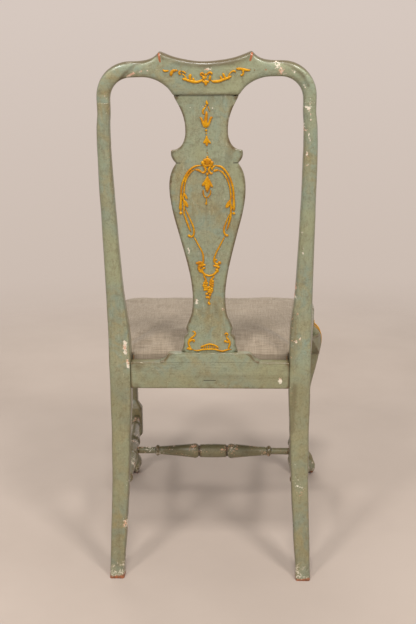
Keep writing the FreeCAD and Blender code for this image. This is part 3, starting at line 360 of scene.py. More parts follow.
def floor_material():
    """Pale floor that thins out to nothing far from the chair."""
    g = new_material("floor")
    away = g.node("VectorMath", {0: g.position}, "Value", operation="LENGTH")
    colour = g.mix(g.ramp(g.noise(2.2, 4), 0.3, 0.7), tone(182, 167, 156), tone(189, 174, 163))
    g.finish(colour, 0.9, Specular_IOR_Level=0.1)
    faded = {0: g.ramp(away, 1.1, 2.6), 1: Signal(g, g.shader.outputs[0]), 2: g.node("BsdfTransparent")}
    g.feed(g.tree.nodes["Material Output"].inputs["Surface"], g.node("MixShader", faded))
    return g.owner


OCHRE = ochre_material()
LINEN = linen_material()
BEECH_X = timber_material("beech_x", 0)
BEECH_Y = timber_material("beech_y", 1)
WEB = jute_material("jute_webbing", tone(170, 142, 102), tone(140, 112, 76), 0.0022, tone(92, 56, 44))
HESSIAN = jute_material("hessian_cloth", tone(158, 128, 86), tone(128, 100, 64), 0.0026, None)
STEEL = steel_material()


# ---------------------------------------------------------------- mesh helpers
def add_object(name, data):
    made = bpy.data.objects.new(name, data)
    scene.collection.objects.link(made)
    return made


def reworked(meshes, change):
    """New mesh of one or more, after a change made to them as one bmesh."""
    work = bmesh.new()
    for mesh in meshes:
        work.from_mesh(mesh)
    change(work)
    made = bpy.data.meshes.new("reworked")
    work.to_mesh(made)
    work.free()
    return made


def mesh_from(points, faces, merge=True):
    """Smooth mesh with outward normals from points in metres."""
    def change(work):
        if merge:
            bmesh.ops.remove_doubles(work, verts=work.verts, dist=1e-7)
        bmesh.ops.recalc_face_normals(work, faces=work.faces)

    raw = bpy.data.meshes.new("raw")
    raw.from_pydata([tuple(p) for p in points], [], faces)
    mesh = reworked([raw], change)
    mesh.shade_smooth()
    return mesh


def ring_faces(size, rows, base=0):
    """Faces of a closed tube: rows of rings with size points each, numbered from base, then both its ends."""
    faces = []
    for k in range(rows - 1):
        for j in range(size):
            a, b = base + k * size + j, base + k * size + (j + 1) % size
            faces.append((a, b, b + size, a + size))
    last = base + (rows - 1) * size
    return faces + [tuple(base + j for j in reversed(range(size))), tuple(last + j for j in range(size))]


def modified(mesh, *settings):
    """New mesh: the given one with modifiers applied. Each setting is (kind, {property: value})."""
    holder = add_object("holder", mesh)
    for kind, values in settings:
        modifier = holder.modifiers.new(kind.lower(), kind)
        for key, value in values.items():
            setattr(modifier, key, value)
    return baked(holder)


def baked(holder):
    """The mesh of an object as its modifiers leave it; the object goes."""
    graph = bpy.context.evaluated_depsgraph_get()
    made = bpy.data.meshes.new_from_object(holder.evaluated_get(graph))
    bpy.data.objects.remove(holder)
    return made


def regrid(meshes, voxel):
    """Even, closed mesh round everything that the given closed meshes fill."""
    def change(work):
        bmesh.ops.remove_doubles(work, verts=work.verts, dist=1e-6)
        bmesh.ops.triangulate(work, faces=[f for f in work.faces if len(f.verts) > 4])

    return modified(reworked(meshes, change),
                    ("REMESH", {"mode": "VOXEL", "voxel_size": voxel, "use_smooth_shade": True}))


def read(items, key, width, kind):
    out = np.empty(len(items) * width, dtype=kind)
    items.foreach_get(key, out)
    return out.reshape(-1, width)


def points_of(mesh):
    return read(mesh.vertices, "co", 3, float)


def normals_of(mesh):
    return read(mesh.vertex_normals, "vector", 3, np.float32).astype(float)


def edges_of(mesh):
    return read(mesh.edges, "vertices", 2, np.int32)


def values_of(mesh, name):
    return read(mesh.attributes[name].data, "value", 1, np.float32)[:, 0]


def put_points(mesh, co):
    mesh.vertices.foreach_set("co", co.ravel())
    mesh.update()


def put_values(mesh, name, values):
    layer = mesh.attributes.get(name) or mesh.attributes.new(name, "FLOAT", "POINT")
    layer.data.foreach_set("value", np.ascontiguousarray(values, dtype=np.float32))


def from_neighbours(values, edges):
    """Sum of each point's neighbours' values."""
    first, second = edges.T
    count = len(values)
    return np.bincount(first, values[second], count) + np.bincount(second, values[first], count)


def degree_of(count, edges):
    return np.maximum(np.bincount(edges.ravel(), minlength=count), 1)


def spread(values, edges, times, share=0.5):
    """Each value moved towards the mean of its neighbours, several times."""
    degree = degree_of(len(values), edges)[:, None]
    columns = values.astype(float).reshape(len(values), -1)
    for _ in range(times):
        total = np.stack([from_neighbours(column, edges) for column in columns.T], 1)
        columns = columns + share * (total / degree - columns)
    return columns.reshape(values.shape)


def eased(mesh, rounds):
    """Smooths a mesh without shrinking it."""
    co, edges = points_of(mesh), edges_of(mesh)
    for _ in range(rounds):
        co = spread(spread(co, edges, 1, 0.5), edges, 1, -0.52)
    put_points(mesh, co)


def rounded(mesh, rounds, weights=1.0):
    """Rounds a mesh off, more where a point's weight is higher."""
    co, edges = points_of(mesh), edges_of(mesh)
    for _ in range(rounds):
        co = co + weights * (spread(co, edges, 1, 0.5) - co)
    put_points(mesh, co)


def uneven(co, size, seed):
    """Smooth field between about -1 and 1 with bumps of one size, the same each run."""
    rng = np.random.default_rng(seed)
    total = np.zeros(len(co))
    for _ in range(14):
        way = rng.normal(size=3)
        way *= 2 * math.pi / (size * rng.uniform(0.7, 1.6)) / np.linalg.norm(way)
        total += np.sin(co @ way + rng.uniform(0, 2 * math.pi))
    return total / 4.5


def smooth_step(value, low, high):
    share = np.clip((value - low) / (high - low), 0, 1)
    return share * share * (3 - 2 * share)


def mark_edges(mesh, flat=70.0, sharp=300.0):
    """Stores how far each point is worn (outward bends), hollow (inward bends) and near a rim."""
    co, edges = points_of(mesh), edges_of(mesh)
    step = co[edges[:, 0]] - co[edges[:, 1]]
    length = np.einsum("ij,ij->i", step, step)
    count = len(co)
    total = np.bincount(edges[:, 0], length, count) + np.bincount(edges[:, 1], length, count)
    mean = total / degree_of(count, edges)
    pull = spread(co, edges, 1, 1.0) - co
    bend = -2 * np.einsum("ij,ij->i", pull, normals_of(mesh)) / np.maximum(mean, 1e-12)
    bend = spread(bend, edges, 3)
    wear = np.clip((bend - flat) / sharp, 0, 1)
    hollow = np.clip((-bend - flat * 0.6) / sharp, 0, 1)
    put_values(mesh, "wear", spread(wear, edges, 1))
    put_values(mesh, "hollow", spread(hollow, edges, 2))
    put_values(mesh, "rim", spread(wear, edges, 14))


def kept_part(mesh, height, above):
    """The part of a closed mesh above or below a level plane, closed again."""
    def change(work):
        parts = list(work.verts) + list(work.edges) + list(work.faces)
        cut = bmesh.ops.bisect_plane(work, geom=parts, plane_co=(0, 0, height), plane_no=(0, 0, 1),
                                     clear_outer=not above, clear_inner=above)
        rim = [e for e in cut["geom_cut"] if isinstance(e, bmesh.types.BMEdge)]
        filled = bmesh.ops.holes_fill(work, edges=rim)["faces"]
        for face in filled:
            face.smooth = False
        bmesh.ops.triangulate(work, faces=filled)

    return reworked([mesh], change)


def side_of(mesh, sign):
    """The loose part of a mesh on one side of the chair."""
    return reworked([mesh], lambda work: bmesh.ops.delete(
        work, geom=[v for v in work.verts if v.co.x * sign < 0], context="VERTS"))


def place(name, mesh, material, body, replaced=(), smooth=True):
    """Adds a finished piece."""
    mesh.materials.clear()
    mesh.materials.append(material)
    if smooth:
        mesh.shade_smooth()
    made = add_object(name, mesh)
    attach(made, body)
    if replaced:
        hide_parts(*replaced)
    return made


# ---------------------------------------------------------------- painted wood
# Marks seen in the photograph, on faces that look back: x, z of both ends and half width in millimetres, then how
# strong in tenths. SCARS show specks of the undercoat, the second list a brown glaze that is partly painted shade
# (the crest's top edge, the loops, the posts' inner edges and the posts near the seat) and RAWS bare wood.
SCARS = [
    (135, 967, 123, 973, 1.2, 10), (112, 976, 110, 976, 1.1, 10), (100, 977, 99, 977, 1.1, 10),
    (153, 943, 153, 932, 2.3, 8.5), (144, 938, 145, 925, 1.9, 8), (158, 921, 159, 907, 1.6, 9),
    (139, 920, 139, 918, 1.1, 10), (162, 853, 162, 842, 2.4, 6), (152, 834, 153, 820, 2.2, 6),
    (-121, 986, -129, 975, 3.9, 9.5), (-132, 971, -136, 970, 1.2, 11), (-147, 975, -151, 973, 1.4, 10),
    (-148, 964, -148, 961, 1.1, 9), (-168, 952, -170, 948, 1.5, 10), (-172, 915, -176, 912, 1.4, 11),
    (-180, 915, -176, 912, 1.4, 11), (-176, 912, -177, 908, 1.4, 11), (-179, 929, -181, 891, 0.9, 8.5),
    (-166, 889, -171, 875, 2.8, 8.5), (-179, 868, -181, 857, 1.6, 9), (-177, 837, -177, 829, 1.4, 9),
    (-178, 815, -178, 812, 1.3, 9), (-160, 833, -161, 821, 1.1, 8), (151, 759, 151, 753, 1.1, 9),
    (158, 644, 153, 643, 1.2, 9), (144, 580, 145, 561, 1, 8), (164, 469, 164, 445, 2.3, 11),
    (160, 430, 159, 415, 1.6, 10.5), (152, 261, 148, 246, 2.3, 8.5), (159, 185, 148, 125, 6.2, 5.5),
    (161, 106, 145, 106, 7.6, 9), (-173, 689, -173, 686, 1.3, 10), (-175, 659, -175, 647, 1.2, 8.5),
    (-160, 586, -163, 578, 2, 10), (-158, 565, -165, 560, 1.7, 9), (-158, 550, -159, 540, 1, 12),
    (-159, 540, -155, 527, 1, 12), (-168, 528, -168, 526, 1.4, 10), (-166, 472, -167, 468, 1.4, 10),
    (-175, 476, -175, 474, 1.4, 10), (-171, 192, -180, 168, 5.3, 5.5), (-137, 391, -138, 386, 2.5, 12),
    (-1, 979, -9, 979, 1.2, 11), (27, 914, 26, 914, 1, 9), (5, 916, 4, 916, 1, 9), (-10, 914, -10, 914, 1, 9),
    (17, 828, 16, 828, 1.1, 9), (37, 656, 36, 646, 1.3, 11), (23, 552, 24, 545, 1.5, 11),
    (-26, 534, -27, 533, 1.5, 10), (-161, 870, -158, 700, 4.5, 3.2), (-157, 690, -156, 560, 4.5, 3.4),
    (-156, 540, -160, 440, 4, 3.2), (172, 935, 168, 760, 4, 2.8), (-160, 400, -165, 210, 5, 2.6)]
GLAZE_AND_SHADE_MARKS = [
    (79, 1003, 45, 991, 3.4, 9), (45, 991, 0, 986, 3.4, 9), (0, 986, -45, 991, 3.4, 9), (-45, 991, -79, 1003, 3.4, 9),
    (-158, 922, -162, 776, 2.9, 6), (137, 917, 145, 777, 2.2, 5), (141, 509, 140, 418, 5.2, 4.5),
    (-157, 520, -155, 420, 5.8, 4), (153, 953, 140, 971, 1.5, 8), (140, 971, 121, 987, 1.5, 8),
    (121, 987, 93, 994, 1.5, 7), (-164, 969, -146, 983, 1.7, 8), (-146, 983, -125, 992, 1.5, 7),
    (-175, 951, -164, 969, 1.5, 8), (-166, 379, -162, 287, 2.8, 5), (143, 377, 139, 284, 2.9, 5)]
RAWS = [
    (79, 1004, 77, 992, 1.3, 10), (-79, 1004, -76, 993, 1.3, 10), (163, 763, 163, 761, 1.2, 9),
    (158, 729, 158, 728, 1.2, 9), (-103, 977, -102, 977, 1.0, 9)]


def mark_scars(mesh):
    """Stores how near each point is to a listed mark."""
    co = points_of(mesh) / MM
    back = normals_of(mesh)[:, 1] > -0.2
    for name, rows in (("scar", SCARS), ("brown_glaze_and_shade", GLAZE_AND_SHADE_MARKS), ("raw", RAWS)):
        values = np.zeros(len(co))
        for x0, z0, x1, z1, half, strong in rows:
            run = np.array([x1 - x0, z1 - z0])
            away = co[:, [0, 2]] - np.array([x0, z0])
            share = np.clip(away @ run / max(run @ run, 1), 0, 1)
            gap = np.linalg.norm(away - share[:, None] * run, axis=1)
            values = np.maximum(values, np.clip(1.35 - 0.5 * gap / half, 0, 1) * strong / 10)
        put_values(mesh, name, values * back)


CREST_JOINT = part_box("rear_post_left")[1][2]
SHOE_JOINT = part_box("splat_shoe")[0][2]


def handmade(mesh, seed, lumps, bare_towards=None):
    """Gives a wooden piece slight unevenness, dents along its worn edges and its marks."""
    co, normals = points_of(mesh), normals_of(mesh)
    dents = np.clip(uneven(co, 0.016, seed + 40) - 0.75, 0, 1) * values_of(mesh, "wear")
    co = co + normals * (uneven(co, 0.055, seed) * lumps - dents * 0.0014)[:, None]
    bare = np.zeros(len(co))
    if bare_towards is not None:
        bare = (normals @ np.array(bare_towards) > 0.8).astype(float)
    co[:, 2] = np.maximum(co[:, 2], 0.0)
    put_points(mesh, co)
    put_values(mesh, "bare", bare)
    at_splat = np.abs(co[:, 2] - CREST_JOINT)
    at_splat = np.where(np.abs(co[:, 0]) < 0.06, smooth_step(at_splat, 0.0015, 0.008), 1.0)
    for name in ("rim", "wear"):
        put_values(mesh, name, values_of(mesh, name) * at_splat)
    mark_scars(mesh)


def painted(node, mesh, grain, seed=0, smooth=False):
    """The piece that stands for a wooden node."""
    return place(node + "_painted", mesh, paint(grain, seed), FRAME_BODY, (node,), smooth)


def dressed(node, grain, voxel=2.2, seed=1, extra=(), rounds=3, lumps=0.00022, bare_towards=None, soft=0, even_glaze_and_shade=0.0):
    """A carried-over wooden piece with hand-softened edges, slight unevenness, worn arrises and paint."""
    mesh = regrid([nodes[node].data] + list(extra), voxel * MM)
    eased(mesh, rounds)
    mark_edges(mesh)
    rounded(mesh, soft)
    handmade(mesh, seed, lumps, bare_towards)
    # Even brown glaze and painted shade over the whole piece, and more chips of the undercoat.
    if even_glaze_and_shade:
        put_values(mesh, "brown_glaze_and_shade", np.full(len(mesh.vertices), even_glaze_and_shade))
        put_values(mesh, "scar", 0.40 + 0.30 * uneven(points_of(mesh), 0.03, seed))
    return painted(node, mesh, grain, seed % 3, True)


def back_frame():
    """Crest rail and both posts, rounded as one so that their joints run smoothly, then parted at the joint."""
    mesh = regrid([nodes[name].data for name in ("rear_post_left", "rear_post_right", "crest_rail")], voxel=2.0 * MM)
    eased(mesh, 2)
    mark_edges(mesh)
    co = points_of(mesh)
    x, z = np.abs(co[:, 0]), co[:, 2]
    above_rail, leg = smooth_step(z, 0.445, 0.55), 1 - smooth_step(z, 0.28, 0.36)
    weights = np.where(z < 0.36, 0.30 + 0.35 * leg, 0.30 + 0.70 * above_rail)
    weights *= smooth_step(z, 0.001, 0.006)
    ear = np.hypot(x - 0.079, (z - 1.002) * 0.8)
    weights *= 0.10 + 0.90 * smooth_step(ear, 0.006, 0.030)
    shelf = (1 - smooth_step(x, 0.058, 0.075)) * (1 - smooth_step(z, 0.940, 0.955))
    weights *= 1 - 0.85 * shelf
    rounded(mesh, 24, weights[:, None])
    handmade(mesh, 1, 0.00030)
    crest_mesh, posts = kept_part(mesh, CREST_JOINT, True), kept_part(mesh, CREST_JOINT, False)
    for side_name, sign in SIDES:
        painted("rear_post_" + side_name, side_of(posts, sign), 2)
    return painted("crest_rail", crest_mesh, 0)


def rear_rail():
    """Rear seat rail and the splat's shoe, rounded as one and parted at their level joint."""
    mesh = regrid([nodes[name].data for name in ("rear_seat_rail", "splat_shoe")], voxel=1.5 * MM)
    eased(mesh, 1)
    mark_edges(mesh)
    rounded(mesh, 3)
    handmade(mesh, 6, 0.00022, (0, -1, 0))
    painted("splat_shoe", kept_part(mesh, SHOE_JOINT, True), 0)
    painted("rear_seat_rail", kept_part(mesh, SHOE_JOINT, False), 0)


# ---------------------------------------------------------------- raised ornament
def curve_points(rows, step=1.0):
    """Points along a smooth curve through rows of numbers, about a step apart (millimetres)."""
    rows = np.array(rows, dtype=float)
    padded = np.vstack([2 * rows[0] - rows[1], rows, 2 * rows[-1] - rows[-2]])
    out = []
    for k in range(1, len(padded) - 2):
        a, b, c, d = padded[k - 1:k + 3]
        count = max(2, int(np.linalg.norm((c - b)[:2]) / step))
        for t in np.arange(count) / count:
            out.append(0.5 * (2 * b + (c - a) * t + (2 * a - 5 * b + 4 * c - d) * t ** 2
                              + (3 * b - a - 3 * c + d) * t ** 3))
    out.append(padded[-2])
    return np.array(out)


# How far a stroke's points lie from its middle line, in half widths; how deep ornament reaches under the surface.
STROKE_ACROSS = (-1.0, -0.85, -0.5, 0.0, 0.5, 0.85, 1.0)
SUNK = -0.9
BOSS_RINGS = ((0.6, SUNK), (1.0, 0.0), (0.92, 0.45), (0.66, 0.78), (0.3, 0.96))
BOSS_SIDES = 10


class Panel:
    """A face that carries ornament: the ornament's own x and z in millimetres are cast onto it along one direction."""

    def __init__(self, target, origin, across, inward):
        self.tree = BVHTree.FromObject(target, bpy.context.evaluated_depsgraph_get())
        self.origin, self.across = Vector(origin), Vector(across).normalized()
        self.inward = Vector(inward).normalized()
        self.points, self.faces = [], []

    def raised(self, x, z, lift):
        """Point at a height over the surface under an ornament point."""
        start = self.origin + self.across * (x * MM) + Vector((0, 0, 1)) * (z * MM) - self.inward * 0.25
        hit, normal, _, _ = self.tree.ray_cast(start, self.inward)
        if hit is None:
            return None
        if normal.dot(self.inward) > 0:
            normal = -normal
        return hit + (normal - self.inward).normalized() * (lift * MM)

    def add(self, rings):
        """Closed tube from rings of points."""
        self.faces += ring_faces(len(rings[0]), len(rings), len(self.points))
        self.points += [point for ring in rings for point in ring]

    def stroke(self, rows, high=2.0, groove=0.0, flip=1):
        """Raised line whose rows are x, z and width; a leaf is a short wide one."""
        path = curve_points(rows)
        path[:, 0] *= flip
        rings = []
        for k, (x, z, width) in enumerate(path):
            run = path[min(k + 1, len(path) - 1)][:2] - path[max(k - 1, 0)][:2]
            run = run / max(np.linalg.norm(run), 1e-9)
            share = k / (len(path) - 1)
            near_end = min(share, 1 - share)
            half = max(width, 0.8) / 2 * min(1.0, 0.55 + 3.5 * near_end)
            tall = min(high, 0.62 * width + 0.5) * min(1.0, 0.35 + 4.0 * near_end)
            profile = [(t, tall * math.sqrt(max(0.0, 1 - t * t)) * (1 - groove * math.exp(-(t / 0.3) ** 2)))
                       for t in STROKE_ACROSS] + [(0.8, SUNK), (-0.8, SUNK)]
            ring = [self.raised(x - run[1] * half * t, z + run[0] * half * t, lift) for t, lift in profile]
            if None not in ring:
                rings.append(ring)
        if len(rings) > 1:
            self.add(rings)

    def berry(self, x, z, radius):
        """Small raised boss."""
        rings = []
        for share, lift in BOSS_RINGS:
            turns = [2 * math.pi * j / BOSS_SIDES for j in range(BOSS_SIDES)]
            up = lift if lift < 0 else lift * (radius * 0.9)
            rings.append([self.raised(x + radius * share * math.cos(turn), z + radius * share * math.sin(turn), up)
                          for turn in turns])
        if all(None not in ring for ring in rings):
            self.add(rings)

    def drawn(self, strokes, bosses, base):
        """Raises listed strokes and bosses."""
        for high, groove, *row in strokes:
            self.stroke([(x / 10, base + z / 10, width / 9.3) for x, z, width in zip(row[::3], row[1::3], row[2::3])],
                        high / 10, groove / 10)
        for x, z, radius in bosses:
            self.berry(x / 10, base + z / 10, radius / 9)

    def done(self, name, voxel=0.62):
        """Melts the strokes into one raised ornament."""
        mesh = regrid([mesh_from(self.points, self.faces)], voxel * MM)
        eased(mesh, 1)
        co = points_of(mesh)
        put_points(mesh, co + normals_of(mesh) * (uneven(co, 0.004, len(self.points)) * 0.00010)[:, None])
        mark_edges(mesh, 350.0, 1500.0)
        # Painted shadow: darker where the ornament meets the surface.
        gap = np.array([self.tree.find_nearest(Vector(point))[3] for point in points_of(mesh)])
        put_values(mesh, "foot", 1 - smooth_step(gap, 0.3 * MM, 1.1 * MM))
        return place(name, mesh, OCHRE, FRAME_BODY)


# Painted strokes of the back in tenths of a millimetre: height, groove, then x, z and width of each point. Bosses are
# x, z and radius. Heights count from CREST_BASE (a garland of scrolls and leaves) and SPLAT_BASE (finial, tulip, bell,
# shell, double arch of scrolls with a drop, grapes and lower scrolls).
CREST_BASE = 900.0
SPLAT_BASE = 440.0
CREST_STROKES = [
    (18, 0, 728, 798, 16, 717, 773, 28, 688, 762, 36, 651, 765, 32, 621, 768, 14),
    (24, 2, 466, 765, 16, 506, 772, 34, 549, 765, 48, 580, 733, 54, 589, 698, 50, 580, 671, 24),
    (22, 0, 406, 757, 16, 438, 755, 28, 453, 731, 32, 438, 705, 30, 415, 720, 20),
    (18, 0, 409, 759, 16, 377, 751, 28, 340, 725, 24, 331, 718, 10),
    (18, 0, 409, 718, 18, 372, 698, 24, 345, 665, 26, 329, 633, 28),
    (22, 2, 307, 615, 32, 356, 622, 44, 388, 636, 32, 397, 645, 12),
    (25, 0, 350, 604, 20, 307, 604, 42, 243, 589, 48, 179, 577, 48, 114, 584, 46, 71, 604, 40, 41, 626, 28),
    (26, 2, 252, 604, 28, 267, 644, 46, 264, 676, 54, 252, 701, 36, 245, 710, 12),
    (22, 2, 191, 598, 26, 211, 630, 36, 224, 651, 12),
    (24, 0, 25, 690, 20, 48, 725, 28, 77, 722, 30, 84, 697, 30, 58, 679, 28, 33, 692, 16),
    (26, 0, -34, 687, 24, -45, 722, 34, -82, 733, 40, -107, 714, 34, -92, 692, 20),
    (24, 0, -2, 727, 16, -2, 701, 36, -2, 679, 26),
    (26, 0, 28, 673, 34, 41, 647, 42, 22, 617, 36),
    (26, 0, -66, 687, 26, -81, 660, 42, -68, 628, 44, -88, 603, 32),
    (22, 0, -2, 676, 14, -18, 658, 16, -2, 639, 18, 14, 658, 16, -2, 676, 14),
    (28, 3, -2, 611, 38, -2, 569, 56, -2, 536, 44, -2, 510, 14),
    (24, 0, 15, 598, 32, 37, 579, 44, 56, 569, 18),
    (24, 0, -21, 598, 32, -41, 579, 44, -60, 569, 18),
    (25, 0, -92, 603, 26, -122, 587, 44, -176, 583, 48, -240, 592, 48, -294, 610, 46, -347, 629, 44, -392, 647, 36,
     -428, 669, 34, -446, 679, 14),
    (24, 2, -341, 615, 26, -326, 655, 38, -309, 687, 40, -296, 714, 28, -291, 725, 10),
    (22, 2, -281, 604, 26, -268, 639, 36, -253, 668, 26, -249, 675, 10),
    (18, 0, -377, 644, 24, -396, 685, 24, -422, 725, 22, -455, 751, 26, -487, 757, 34, -505, 739, 30, -498, 717, 16),
    (22, 2, -515, 791, 24, -551, 791, 38, -605, 788, 44, -658, 778, 44, -707, 768, 42, -746, 765, 34, -759, 791, 18),
    (24, 0, -618, 773, 28, -641, 746, 30, -640, 714, 34, -618, 685, 38, -588, 688, 20)]
CREST_BOSSES = [
    (-830, 768, 10), (-399, 622, 12), (-429, 656, 13)]
